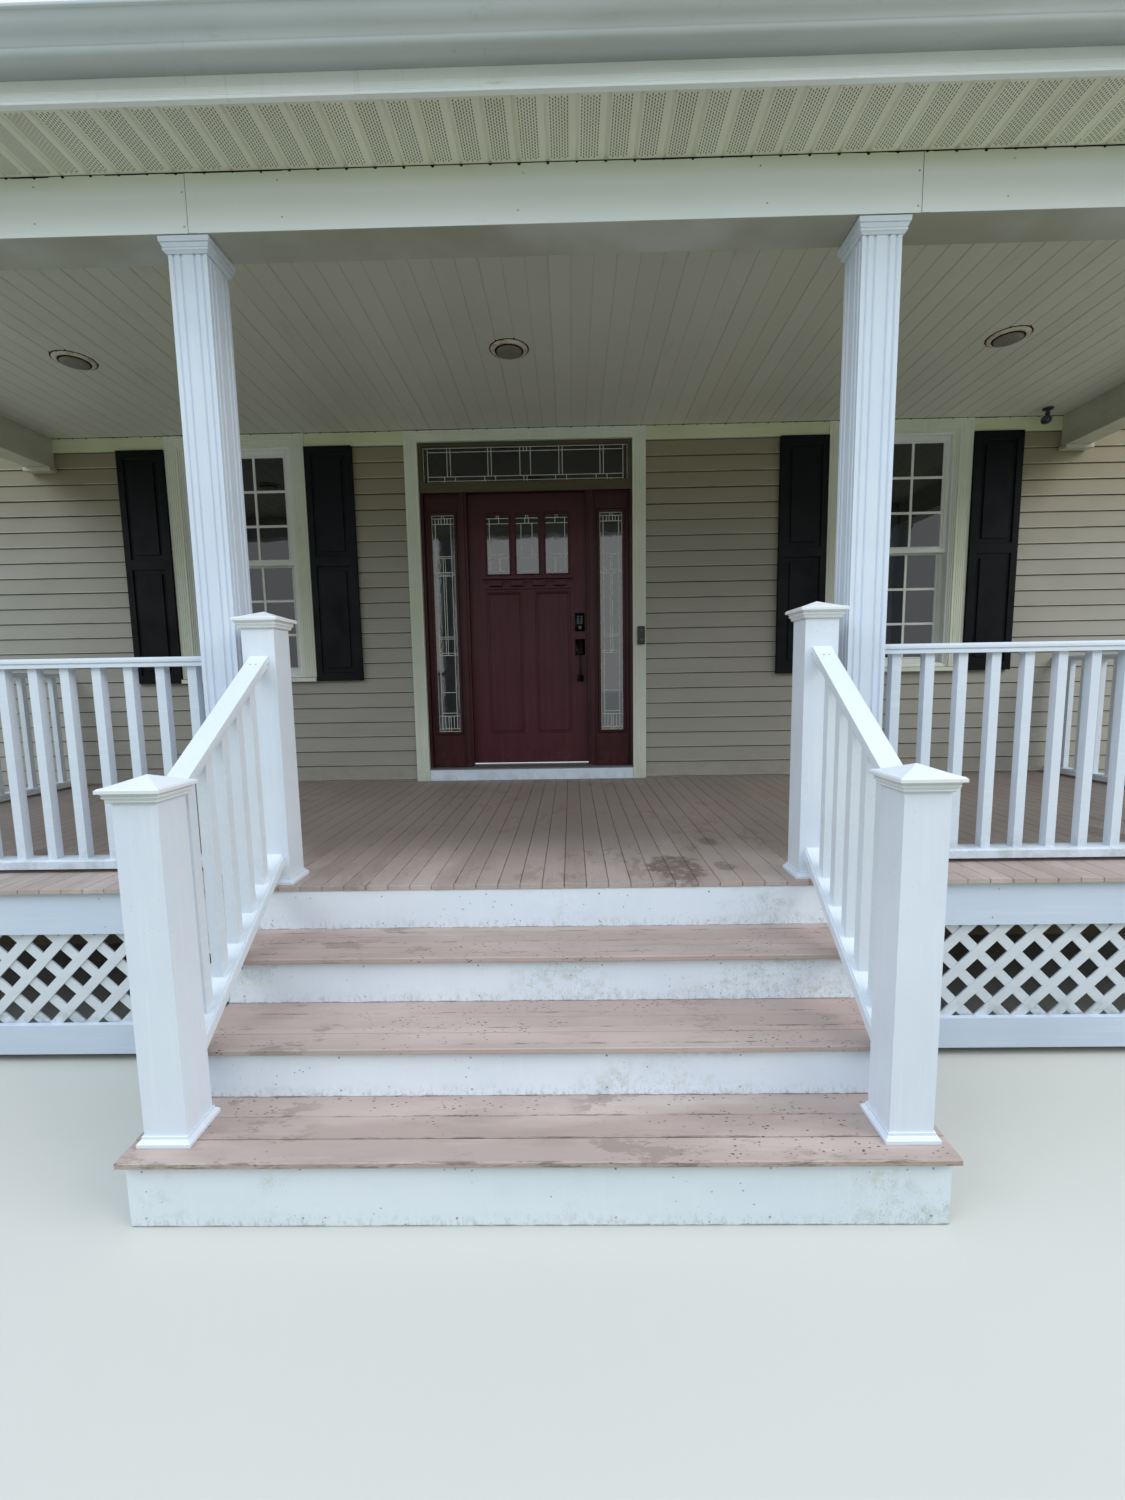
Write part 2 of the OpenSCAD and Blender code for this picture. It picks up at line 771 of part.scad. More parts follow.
module newel_posts() {
  color("#e8ecef") for (s = [-1, 1]) for (p = newel_spots) translate([s * newel_x, p[0], p[1]]) {
    square_step(newel_w, newel_w, p[2]);
    collar(newel_w) {
      square_step(newel_w + 2 * trim_out, newel_w + 2 * trim_out, 11);
      translate([0, 0, 10.5]) square_step(newel_w + 2 * trim_out - 2, newel_w + trim_out, 8);
      translate([0, 0, 18]) square_step(newel_w + 10, newel_w + 10, 9);
    }
  }
}

module newel_caps() {
  color("#eef1f3") for (s = [-1, 1]) for (p = newel_spots)
    translate([s * newel_x, p[0], p[1] + p[2] + fit]) {
      square_step(newel_w + 12, newel_w + 20, 5);
      translate([0, 0, 4.5]) square_step(newel_w + 14, newel_w + 24, 9);
      translate([0, 0, 13]) square_step(newel_w + 28, newel_w + 30, 6);
      translate([0, 0, 18.5]) square_step(newel_w + 24, newel_w + 36, 9);
      translate([0, 0, 27]) square_step(newel_w + 50, newel_w + 50, 10);
      translate([0, 0, 36.5]) square_step(newel_w + 46, newel_w + 40, 4);
      translate([0, 0, 40]) square_step(newel_w + 30, 2, 26);
    }
}

// Rails

// top rail across its width: rounded shoulders over a grooved edge
module rail_section() {
  w = rail_w / 2;
  h = rail_h;
  polygon([[-w + 3, 0], [-w + 3, 12], [-w + 6, 14], [-w + 6, 17], [-w, 19], [-w, h - 9],
    [-w + 3, h - 3], [-w + 9, h], [w - 9, h], [w - 3, h - 3], [w, h - 9], [w, 19],
    [w - 6, 17], [w - 6, 14], [w - 3, 12], [w - 3, 0]]);
}

module low_rail_section() {
  w = low_rail_w / 2;
  h = low_rail_h;
  polygon([[-w, 0], [-w, h - 7], [-w + 6, h], [w - 6, h], [w, h - 7], [w, 0]]);
}

// a level rail along X from a post's face at x = 0, on the deck
module level_rail(len) {
  n = floor((len - bal_first - bal_w) / bal_pitch);
  translate([0, 0, rail_top - rail_h]) rotate([90, 0, 90]) linear_extrude(len) rail_section();
  translate([0, 0, rail_gap]) rotate([90, 0, 90]) linear_extrude(len) low_rail_section();
  z0 = rail_gap + low_rail_h - eps;
  for (i = [0:n]) translate([bal_first + i * bal_pitch - bal_w / 2, -bal_w / 2, z0])
    cube([bal_w, bal_w, rail_top - rail_h - z0 + eps]);
}

rail_span = bay - col_w - 2 * fit;
side_span = -(col_y + col_w / 2) - 2 * fit + 3;

module deck_rails_front() {
  color("#e8ecef") mirrored()
    translate([col_xs[2] + col_w / 2 + fit, col_y, deck_h]) level_rail(rail_span);
}

module deck_rails_side() {
  color("#e8ecef") for (x = [col_xs[0], col_xs[3]])
    translate([x, col_y + col_w / 2 + fit, deck_h]) rotate(90) level_rail(side_span);
}

// raked rail between the newels of one side
module raked(z_up, h) {
  y0 = newel1_y + newel_w / 2 + fit;
  y1 = newel2_y - newel_w / 2 - fit;
  z0 = z_up - (y1 - y0) * rail_slope;
  polygon([[y0, z0 - h], [y1, z_up - h], [y1, z_up], [y0, z0]]);
}

module stair_rail(x) {
  len = newel2_y - newel1_y - newel_w;
  n = 5;
  pitch = len / (n + 1);
  ya = newel1_y + newel_w / 2;
  translate([x, 0, 0]) {
    along_x(-rail_w / 2, rail_w / 2) raked(stair_rail_z, 24);
    along_x(-rail_w / 2 + 6, rail_w / 2 - 6) raked(stair_rail_z - 23, 22);
    along_x(-low_rail_w / 2, low_rail_w / 2) raked(stair_low_z - 7, low_rail_h);
    along_x(-low_rail_w / 2 + 6, low_rail_w / 2 - 6) raked(stair_low_z, low_rail_h);
    for (i = [1:n]) {
      y = ya + i * pitch;
      za = stair_low_z - (len - i * pitch) * rail_slope;
      zb = stair_rail_z - (len - i * pitch) * rail_slope;
      along_x(-bal_w / 2, bal_w / 2) polygon([
        [y - bal_w / 2, za - bal_w / 2 * rail_slope - 6], [y + bal_w / 2, za + bal_w / 2 * rail_slope - 6],
        [y + bal_w / 2, zb + bal_w / 2 * rail_slope - 42], [y - bal_w / 2, zb - bal_w / 2 * rail_slope - 42]]);
    }
  }
}

module stair_rails() {
  color("#e8ecef") for (s = [-1, 1]) stair_rail(s * newel_x);
}

// Columns and beams

// open joint between a capital and the beam
cap_gap = 3;

module column_section() {
  w = col_w / 2;
  difference() {
    square(col_w, center = true);
    for (a = [0:90:270]) rotate(a) for (x = [-flute_out, -flute_in, flute_in, flute_out])
      translate([x, -w]) circle(d = flute_d, $fn = 16);
  }
}

module columns() {
  color("#e4e9ee") for (x = col_xs) translate([x, col_y, deck_h]) {
    linear_extrude(col_h - fit) column_section();
    collar(col_w) {
      square_step(col_w + 36, col_w + 36, base_h - 6);
      translate([0, 0, base_h - 7]) square_step(col_w + 26, col_w + 8, 7);
    }
  }
}

module column_capitals() {
  color("#dfe6ea") for (x = col_xs) translate([x, col_y, beam_z - capital_h - cap_gap]) difference() {
    union() {
      square_step(col_w + 8, col_w + 22, capital_h * 0.16);
      translate([0, 0, capital_h * 0.15]) square_step(col_w + 26, col_w + 26, capital_h * 0.16);
      translate([0, 0, capital_h * 0.3]) square_step(col_w + 20, col_w + 20, capital_h * 0.06);
      translate([0, 0, capital_h * 0.35])
        square_step(col_w + 24, col_w + 2 * cap_out - 8, capital_h * 0.24);
      translate([0, 0, capital_h * 0.58])
        square_step(col_w + 2 * cap_out - 14, col_w + 2 * cap_out - 14, capital_h * 0.07);
      translate([0, 0, capital_h * 0.64])
        square_step(col_w + 2 * cap_out - 3, col_w + 2 * cap_out, capital_h * 0.36);
    }
    translate([-col_w / 2 - fit, -col_w / 2 - fit, -5])
      cube([col_w + 2 * fit, col_w + 2 * fit, capital_h + 10]);
  }
}

// the boxed beam, and the plate in the roof that carries the rafters
module front_beam() {
  color("#d9e0dc") {
    box(-side_out, side_out, -porch_depth, -porch_depth + beam_w, beam_z, ceil_z - fit);
    y0 = -porch_depth + 30;
    y1 = -porch_depth + beam_w - 40;
    along_x(-side_out + 60 + fit, side_out - 60 - fit) polygon([[y0, ceil_z],
      [y0, rafter_z(y0) - 81], [y1, rafter_z(y1) - 81], [y1, ceil_z]]);
  }
}

module side_beams() {
  color("#d9e0dc") mirrored() {
    box(side_in, side_out, -porch_depth + beam_w + fit, 3 - fit, beam_z, ceil_z - fit);
    box(side_in - 16, side_out + 16, -70, 3 - fit, beam_z - trim_plate_h, beam_z - fit);
  }
}

// Ceiling

light_xs = [-2636, door_x, 2537];
light_y = -1066;
light_hole = 158;

module porch_ceiling() {
  color("#b9b7a8") difference() {
    box(-side_out, side_out, -porch_depth + beam_w - 36, sheath_y - fit, ceil_z, ceil_z + panel_t);
    for (x = light_xs) translate([x, light_y, ceil_z - 10]) cylinder(d = light_hole, h = 40, $fn = 64);
  }
}

module ceiling_lights() {
  color("#a89c84") for (x = light_xs) translate([x, light_y, ceil_z]) rotate_extrude($fn = 64)
    polygon([[light_d / 2, -fit], [light_d / 2, -4], [light_d / 2 - 12, -11], [light_hole / 2 - 8, -11],
      [light_hole / 2 - 14, 4], [light_hole / 2 - 18, 44], [0, 44], [0, 90],
      [light_hole / 2 - fit * 2, 90], [light_hole / 2 - fit * 2, -fit]]);
}

module security_camera() {
  color("#141416") translate([3465, -131, ceil_z - fit]) {
    translate([0, 0, -10]) cylinder(d = 66, h = 10, $fn = 48);
    translate([0, 0, -46]) cylinder(d = 20, h = 40, $fn = 24);
    translate([6, 34, -62]) rotate([90 + 14, 0, 16]) {
      cylinder(d = 52, h = 96, $fn = 48);
      translate([0, 6, 80]) cylinder(d = 58, h = 30, $fn = 48);
    }
  }
}

// Eave, gutter and roof

module eave_soffit() {
  color("#c9c8b8") {
    box(-roof_half + fascia_t, roof_half - fascia_t, eave_y + fit, -porch_depth - fit,
      soffit_z, soffit_z + panel_t);
    mirrored() along_x(side_out + fit, roof_half - fascia_t - fit)
      polygon([[-porch_depth, rafter_z(-porch_depth) - 91], [3 - fit, rafter_z(3) - 91],
        [3 - fit, rafter_z(3) - 81], [-porch_depth, rafter_z(-porch_depth) - 81]]);
  }
}

module fascia_boards() {
  color("#dfe4e2") {
    box(-roof_half, roof_half, eave_y - fascia_t, eave_y, fascia_z, rafter_z(eave_y - fascia_t) - fit);
    mirrored() along_x(roof_half - fascia_t, roof_half) polygon([
      [eave_y + fit, fascia_z], [-porch_depth, fascia_z], [-porch_depth, rafter_z(-porch_depth) - 105],
      [3 - fit, rafter_z(0) - 105], [3 - fit, rafter_z(0) - fit], [eave_y + fit, rafter_z(eave_y) - fit]]);
  }
}

gut_z = fascia_z + fascia_h - gutter_h - 6;
gut_y = eave_y - fascia_t - fit;
gut_t = 3;

// outline of the gutter, back at 0, front towards -y, offset in by t
module gutter_section(t) {
  w = gutter_w;
  h = gutter_h;
  polygon([[-t, t], [-70 + t / 2, t], [-78 + t, 16], [-78 + t, 22], [-98 + t, 36], [-116 + t, 56],
    [-122 + t, h - 12], [-w + t, h - 10], [-w + t, h + (t > 0 ? 5 : 0)], [-t, h + (t > 0 ? 5 : 0)]]);
}

module gutter() {
  color("#e2e8ea") translate([0, gut_y, gut_z]) {
    along_x(-roof_half + fit, roof_half - fit) difference() {
      gutter_section(0);
      gutter_section(gut_t);
    }
    for (x = [-roof_half + fit, roof_half - fit - gut_t])
      along_x(x, x + gut_t) gutter_section(0);
  }
}

module roof_rafters() {
  n = 14;
  x0 = -roof_half + fascia_t + fit;
  color("#9c8560") for (i = [0:n]) {
    x = x0 + i * (2 * -x0 - 38) / n;
    along_x(x, x + 38) polygon([
      [eave_y + fit, rafter_z(eave_y) - 80], [eave_y + fit, rafter_z(eave_y) - fit],
      [3 - fit, rafter_z(3) - fit], [3 - fit, rafter_z(3) - 80]]);
  }
}

module roof_layer(y0, h0, h1, hw) {
  along_x(-hw, hw) polygon([[y0, rafter_z(y0) + h0], [3 - fit, rafter_z(3) + h0],
    [3 - fit, rafter_z(3) + h1], [y0, rafter_z(y0) + h1]]);
}

module roof_deck() {
  color("#a08a66") roof_layer(eave_y - fascia_t, 0, roof_t / roof_cos, roof_half);
}

module roof_shingles() {
  color("#4b4a4c") {
    roof_layer(eave_y - fascia_t - 22, roof_t / roof_cos + fit, roof_skin, roof_half + 12);
    // flashing strip at the wall
    box(-roof_half, roof_half, 1, 3 - fit, rafter_z(3) + roof_skin + fit,
      rafter_z(3) + roof_skin + 80);
  }
}

module roof_end_walls() {
  color("#b3a78d") mirrored() along_x(side_out - 60, side_out) polygon([
    [-porch_depth, ceil_z + panel_t + fit], [sheath_y - fit, ceil_z + panel_t + fit],
    [sheath_y - fit, rafter_z(sheath_y) - 81], [-porch_depth, rafter_z(-porch_depth) - 81]]);
}

place() foundation_wall();
place() sill_beam();
place() wall_left();
place() wall_right();
place() wall_over_door();
place() wall_siding();
place() frieze_board();
place() door_frame();
place() door_threshold();
place() door_sill_board();
place() door_casing();
place() sidelight_panels();
place() transom_frame();
place() entry_glass();
place() door_slab();
place() door_glass();
place() door_handle_set();
place() door_lock();
place() door_hinges();
place() doorbell();
place() window_casings();
place() window_sashes();
place() window_glass();
place() shutters();
place() porch_piers();
place() deck_frame();
place() deck_floor();
place() deck_rim_boards();
place() lattice_front();
place() lattice_sides();
place() lattice_boards();
place() stair_stringers();
place() stair_risers();
place() stair_treads();
place() newel_posts();
place() newel_caps();
place() stair_rails();
place() deck_rails_front();
place() deck_rails_side();
place() columns();
place() column_capitals();
place() front_beam();
place() side_beams();
place() porch_ceiling();
place() ceiling_lights();
place() security_camera();
place() eave_soffit();
place() fascia_boards();
place() gutter();
place() roof_rafters();
place() roof_deck();
place() roof_shingles();
place() roof_end_walls();
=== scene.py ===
import itertools
import math
import random

import bpy
import bmesh
from mathutils import Matrix, Vector

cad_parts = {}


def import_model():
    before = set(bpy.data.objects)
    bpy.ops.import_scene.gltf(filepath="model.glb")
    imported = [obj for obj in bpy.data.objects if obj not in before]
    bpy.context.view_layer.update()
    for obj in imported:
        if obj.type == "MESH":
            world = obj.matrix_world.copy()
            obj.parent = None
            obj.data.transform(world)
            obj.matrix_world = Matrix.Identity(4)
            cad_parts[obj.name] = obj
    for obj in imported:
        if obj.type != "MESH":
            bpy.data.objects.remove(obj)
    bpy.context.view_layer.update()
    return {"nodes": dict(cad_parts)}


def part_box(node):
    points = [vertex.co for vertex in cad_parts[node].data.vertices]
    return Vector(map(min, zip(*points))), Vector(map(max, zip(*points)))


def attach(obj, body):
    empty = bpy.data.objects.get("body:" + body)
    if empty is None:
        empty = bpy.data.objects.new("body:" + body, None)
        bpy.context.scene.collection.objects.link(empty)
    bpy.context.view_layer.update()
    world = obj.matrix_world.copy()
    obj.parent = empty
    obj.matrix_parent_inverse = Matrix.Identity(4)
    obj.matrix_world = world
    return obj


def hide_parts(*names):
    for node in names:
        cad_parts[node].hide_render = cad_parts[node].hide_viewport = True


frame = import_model()
NODES = frame["nodes"]
rng = random.Random(11)

PORCH, DOOR = "porch", "front_door"
MM = 0.001
DOWN = (0, 0, -1)

# ---------------------------------------------------------------- places


def solids(name):
    """Boxes (lo, hi) of the separate solids of a CAD node, from left to right."""
    mesh = NODES[name].data
    keys = [tuple(round(c, 5) for c in v.co) for v in mesh.vertices]
    parent = {key: key for key in keys}

    def find(key):
        while parent[key] != key:
            parent[key] = parent[parent[key]]
            key = parent[key]
        return key

    for e in mesh.edges:
        a, b = (find(keys[i]) for i in e.vertices)
        parent[a] = b
    groups = {}
    for v, key in zip(mesh.vertices, keys):
        groups.setdefault(find(key), []).append(v.co)
    boxes = [tuple(Vector([pick(c[k] for c in cos) for k in range(3)]) for pick in (min, max))
             for cos in groups.values()]
    return sorted(boxes, key=lambda b: tuple(round(c, 3) for c in b[0]))


def width(box):
    return box[1].x - box[0].x


def front(box):
    return box[0].y


deck_lo, deck_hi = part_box("deck_floor")
ceil_lo, ceil_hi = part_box("porch_ceiling")
beam_lo, beam_hi = solids("front_beam")[0]
soffit_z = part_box("eave_soffit")[0].z
WALL_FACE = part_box("wall_left")[0].y - 0.020
SIDELIGHTS = [pane for pane in solids("entry_glass") if width(pane) < 0.5]
TRANSOM = max(solids("entry_glass"), key=width)
SLAB_LO, SLAB_HI = max(solids("door_slab"), key=lambda b: b[1].z - b[0].z)
SLAB_MID = (SLAB_LO.x + SLAB_HI.x) / 2
# Boxes round the two long panels of the slab.
DOOR_PANELS = [(Vector((x - 0.134, 0, SLAB_LO.z + 0.232)), Vector((x + 0.134, 0, SLAB_LO.z + 1.310)))
               for x in (SLAB_MID - 0.185, SLAB_MID + 0.185)]

# How far apart the panels' grooves, the laps of the siding, the boards and the shingles lie, and
# where one of them lies, lined up with the photograph.
GROOVE, CEIL_PHASE, SOFFIT_PHASE = 0.1016, -0.2630, -0.9525
COURSE, COURSE_PHASE = 0.1123, 0.6177
BOARD, BOARD_PHASE = 0.0831, -0.0022
TREAD_BOARD = 0.088
WALL_SHEET = 1.22
ROOF_RISE, SHINGLE_STEP, SHINGLE_TAB = 0.25, 0.131, 0.305
BEAM_JOINTS = (-1.227, 1.375, 3.20)

# Water stains of the deck: x, y, reach and strength.
DECK_STAINS = ((0.520, -0.780, 0.130, 0.75), (0.745, -0.380, 0.055, 0.6), (0.730, -0.760, 0.050, 0.5),
               (-2.35, -0.50, 0.12, 0.5), (2.60, -0.35, 0.10, 0.5))

# ---------------------------------------------------------------- finishes

MAT = {}


def linear(code):
    """Linear RGBA of a colour written as #rrggbb."""
    parts = [int(code[i:i + 2], 16) / 255 for i in (1, 3, 5)]
    return (*(c / 12.92 if c <= 0.04045 else ((c + 0.055) / 1.055) ** 2.4 for c in parts), 1.0)


def feed(tree, n, inputs):
    """Links each named input of a node to a socket, or sets it to a value."""
    for key, value in inputs.items():
        if isinstance(value, bpy.types.NodeSocket):
            tree.links.new(value, n.inputs[key])
        else:
            n.inputs[key].default_value = value
    return n


def node(tree, kind, inputs=None, **settings):
    n = tree.nodes.new("ShaderNode" + kind)
    for key, value in settings.items():
        setattr(n, key, value)
    return feed(tree, n, inputs or {})


class Finish:
    """A procedural material in the part's own coordinates, in metres.

    A mask is a socket or (lo, hi, *source): 0 where the source is lo and 1 where it is hi; lo may be
    the larger. Several masks are multiplied.
    """

    def __init__(self, name, base, rough=0.5, metal=0.0, shine=0.5, coat=0.0, ior=1.5):
        self.name, self.mat = name, bpy.data.materials.new(name)
        self.mat.use_nodes = True
        self.tree = self.mat.node_tree
        self.shader = feed(self.tree, self.tree.nodes["Principled BSDF"], {
            "Metallic": metal, "Specular IOR Level": shine, "IOR": ior, "Coat Weight": coat, "Coat Roughness": 0.12})
        self.place = node(self.tree, "TexCoord").outputs["Object"]
        self.axes = node(self.tree, "SeparateXYZ", {0: self.place}).outputs
        self.color, self.rough, self.heights = linear(base), rough, None

    def math(self, kind, a, b=0.0, clamp=False):
        return node(self.tree, "Math", {0: a, 1: b}, operation=kind, use_clamp=clamp).outputs[0]

    def texture(self, kind, scale, shift, **inputs):
        """Outputs of a texture over the part's coordinates times scale, moved by shift."""
        place = node(self.tree, "Mapping", {
            "Vector": self.place, "Location": (shift, shift * 1.7, -shift),
            "Scale": scale if isinstance(scale, tuple) else (scale,) * 3}).outputs[0]
        return node(self.tree, kind, {"Vector": place, "Scale": 1.0, **inputs}).outputs

    def noise(self, scale, detail=3.0, rough=0.55, shift=0.0, bend=0.0):
        return self.texture("TexNoise", scale, shift, Detail=detail, Roughness=rough, Distortion=bend)[0]

    def source(self, first, *rest):
        """A socket, an axis, "up" for how far a face looks up, "cells" of a scale, or else a noise."""
        if isinstance(first, bpy.types.NodeSocket):
            return first
        if first == "up":
            normal = node(self.tree, "NewGeometry").outputs["Normal"]
            return node(self.tree, "SeparateXYZ", {0: normal}).outputs["Z"]
        if first == "cells":
            scale, shift = (*rest, 0.0)[:2]
            return self.texture("TexVoronoi", scale, shift)["Distance"]
        return self.axes[first] if isinstance(first, str) else self.noise(first, *rest)

    def where(self, *masks):
        out = None
        for m in masks:
            if isinstance(m, tuple):
                lo, hi = m[:2]
                m = node(self.tree, "MapRange", {
                    "Value": self.source(*m[2:]), "From Min": min(lo, hi), "From Max": max(lo, hi),
                    "To Min": float(lo > hi), "To Max": float(lo <= hi)}, interpolation_type="SMOOTHSTEP")
                m = m.outputs["Result"]
            out = m if out is None else self.math("MULTIPLY", out, m)
        return out

    def boards(self, kind, letter, pitch, phase):
        """FLOOR: the number of a board of that pitch along an axis. FRACT: how far across it a place is."""
        return self.math(kind, self.math("DIVIDE", self.math("SUBTRACT", self.axes[letter], phase), pitch))

    def each(self, *boards, seed=0.0):
        """A random value from 0 to 1 for each board."""
        number = self.math("ADD", self.boards("FLOOR", *boards), seed + 0.37)
        return node(self.tree, "TexWhiteNoise", {"W": number}, noise_dimensions="1D").outputs["Value"]

    def tint(self, color, amount, *masks):
        share = self.math("MULTIPLY", self.where(*masks), amount, clamp=True)
        mix = {0: share, 6: self.color, 7: linear(color)}
        self.color = node(self.tree, "Mix", mix, data_type="RGBA").outputs[2]

    def gloss(self, rough, *masks):
        """Mixes the roughness towards rough."""
        self.rough = node(self.tree, "Mix", {0: self.where(*masks), 2: self.rough, 3: rough}).outputs[0]

    def relief(self, mm, *masks):
        h = self.math("MULTIPLY", self.where(*masks), mm * MM)
        self.heights = h if self.heights is None else self.math("ADD", self.heights, h)

    def grain(self, mm, *source):
        self.relief(mm, self.source(*source))

    def done(self):
        bump = node(self.tree, "Bump", {"Strength": 1.0, "Distance": 1.0, "Height": self.heights})
        feed(self.tree, self.shader, {"Base Color": self.color, "Roughness": self.rough,
                                      "Normal": bump.outputs["Normal"]})
        MAT[self.name] = self.mat


def finish(name, base, look, tints, dull, *grains):
    """A finish of tints (colour, amount, *masks), a duller patch (roughness, *masks) and grains (mm, *source)."""
    f = Finish(name, base, **look)
    for row in tints:
        f.tint(*row)
    if dull:
        f.gloss(*dull)
    for row in grains:
        f.grain(*row)
    f.done()


def stretched(axis, along, across):
    """Noise scale that runs long along one axis."""
    return tuple(along if a == axis else across for a in "XYZ")


def white_paint(name, base, shade, axis, low=None, wear=0.5):
    """Painted or wrapped white trim: faint brush lines, cloudy tone and grime near z = low."""
    rough, grime = 0.42, "#8f958c"
    f = Finish(name + "_white", base, rough)
    f.tint(shade, 0.7, (0.35, 0.72, 1.3, 4, 0.6))
    f.tint("#ffffff", 0.18, (0.5, 0.8, stretched(axis, 2.5, 60)))
    f.tint(grime, 0.30 * wear, (0.60, 0.82, stretched(axis, 9, 34), 5, 0.7, 3.1))
    f.tint("#6f6f68", 0.55 * wear, (0.13, 0.05, "cells", 46, 1.7), (0.52, 0.66, 2.2, 2, 0.5, 8.0))
    if low is not None:
        f.tint(grime, 0.75 * wear, (low + 0.11, low, "Z"), (0.38, 0.66, 14, 5, 0.7, 5.5))
    f.gloss(rough + 0.14, (0.4, 0.7, 6, 3))
    f.relief(0.7 * wear, (0.16, 0.06, "cells", 40, 4.0), (0.50, 0.60, 3.1, 2, 0.5, 2.0))
    f.grain(0.25, stretched(axis, 12, 160), 3)
    f.grain(0.3, 26, 2)
    f.done()


def worn_boards(name, base, boards, grain_axis, pits, stains=(), roof_shade=None):
    """Painted porch boards: each of its own tone, with grain, a paler wash, blotches, pits and stains, and painted
    shade over a band of y when one is given.
    """
    f = Finish(name, base, 0.58)

    def long(along, across):
        return stretched(grain_axis, along, across)

    f.tint("#8f8078", 0.30, f.each(*boards))
    f.tint("#d2c3bb", 0.28, f.each(*boards, seed=41.0))
    f.tint("#d8c4bc", 0.42, (0.46, 0.66, long(0.9, 3.2), 4, 0.6, 4.0))
    f.tint("#97877d", 0.36, (0.50, 0.66, long(1.4, 4.4), 5, 0.68, 9.0))
    f.tint("#cdbdb5", 0.35, (0.54, 0.76, long(3.0, 42), 5, 0.7))
    f.tint("#7d6d65", 0.40, (0.58, 0.78, long(3.5, 85), 5, 0.7, 2.2))
    if roof_shade:
        # Painted shade under the porch roof: darker from the front edge towards the wall.
        f.tint("#857870", 0.78, (*roof_shade, "Y"))
    blot = f.where((0.54, 0.60, long(4.0, 9.0), 6, 0.74, 6.0), (0.44, 0.60, 1.5, 2, 0.5, 3.0))
    f.tint("#88776c", 0.50, blot)
    for x, y, reach, amount in stains:
        dx = f.math("SUBTRACT", f.axes["X"], x)
        dy = f.math("MULTIPLY", f.math("SUBTRACT", f.axes["Y"], y), 0.62)
        far = f.math("SQRT", f.math("ADD", f.math("MULTIPLY", dx, dx), f.math("MULTIPLY", dy, dy)))
        edge = f.math("MULTIPLY", f.math("SUBTRACT", f.noise(16, 5, 0.7, 1.0), 0.5), reach * 1.5)
        f.tint("#66584d", amount, (reach, reach * 0.62, f.math("ADD", far, edge)), (0.30, 0.52, 30, 5, 0.7, 8.0))
    pocks = f.where((0.26, 0.14, "cells", long(46, 105), 2.0), (0.44, 0.56, long(1.3, 2.6), 3, 0.55, 6.5),
                    (0.47, 0.56, 14, 4, 0.7, 5.0))
    step = f.boards("FRACT", *boards)
    near = f.math("MINIMUM", step, f.math("SUBTRACT", 1.0, step))
    f.tint("#4a3d36", 0.55 * pits, (0.075, 0.02, near), (0.50, 0.60, long(9, 60), 4, 0.75, 1.0))
    f.tint("#3a302b", 0.9 * pits, pocks)
    f.gloss(0.8, blot)
    f.grain(0.7, long(10, 190), 4, 0.6)
    f.relief(-0.9 * pits, pocks)
    f.grain(0.5, 18, 3)
    f.done()


def ceiling_vinyl(name, base, phase):
    f = Finish(name, base)
    f.tint("#bdbcab", 0.32, f.each("X", GROOVE, phase))
    f.tint("#d9d8cc", 0.4, (0.4, 0.7, (1.2, 0.6, 1), 4))
    f.tint("#9a9a88", 0.35, (0.58, 0.8, (5, 2, 1), 5, 0.7, 5.0))
    f.tint("#8b8873", 0.6, (0.09, 0.04, "cells", 31, 1.0), (0.5, 0.6, 4, 2))
    f.gloss(0.62, (0.4, 0.7, 3, 3))
    f.grain(0.22, (70, 3, 3), 3)
    f.grain(1.4, (4, 1.2, 1), 3)
    f.done()


def glass(name, base, rough, ior, shine, *ripples):
    """Dark glazing that mirrors its surroundings, as the panes of an unlit house do."""
    finish(name, base, {"rough": rough, "ior": ior, "shine": shine},
           (("#191d20", 0.5, (0.40, 0.72, (1.6, 1.0, 0.5), 3, 0.5, 4.0)),
            ("#08090a", 0.5, (0.45, 0.68, (22, 1, 0.35), 2, 0.4, 2.0))),
           (rough + 0.05, (0.5, 0.75, 9, 4)), (1.0, (3.0, 3.0, 2.2), 2),
           *((ripple, (48, 48, 20), 3, 0.6, 3.0) for ripple in ripples))


def coil_metal(name, base, shade):
    finish(name, base, {"rough": 0.34},
           ((shade, 0.65, (0.38, 0.7, (0.8, 3, 5), 4, 0.6)),
            ("#8f9486", 0.42, (0.60, 0.84, (7, 12, 26), 5, 0.72, 4.0)),
            ("#7c8072", 0.35, (0.60, 0.78, (34, 34, 2.2), 4, 0.7, 6.0), (0.45, 0.62, 1.7, 2))),
           (0.5, (0.4, 0.7, 5, 3)), (1.4, (1.4, 8, 8), 3), (0.07, 140, 2))


def door_paint(name, base, dark):
    """Stained, wood-grained door skin with a thin clear coat, and painted shadow near the top."""
    finish(name, base, {"rough": 0.42, "coat": 0.06, "shine": 0.24},
           ((dark, 0.5, (0.42, 0.70, (26, 26, 1.4), 5, 0.65, 0.0, 0.6)),
            ("#6f3c40", 0.35, (0.56, 0.8, (46, 46, 2.0), 4, 0.6, 5.0, 0.4)),
            # Painted shadow: darker band at the top of the door, under the transom.
            ("#22090c", 0.6, (0.60, 0.80, (130, 130, 4), 4, 0.7, 3.0)), ("#260b0a", 0.55, (2.50, 2.80, "Z")),
            ("#5b4340", 0.35, (1.02, 0.84, "Z"), (0.45, 0.7, 13, 5, 0.7))),
           (0.5, (0.42, 0.7, 5, 4)), (0.30, (110, 110, 3), 4, 0.65))


def black_plastic(name, base, rough):
    finish(name, base, {"rough": rough}, (("#2c2e33", 0.35, (0.45, 0.75, 24, 4)),),
           (rough + 0.12, (0.45, 0.7, 30, 3)), (0.05, 420, 2))


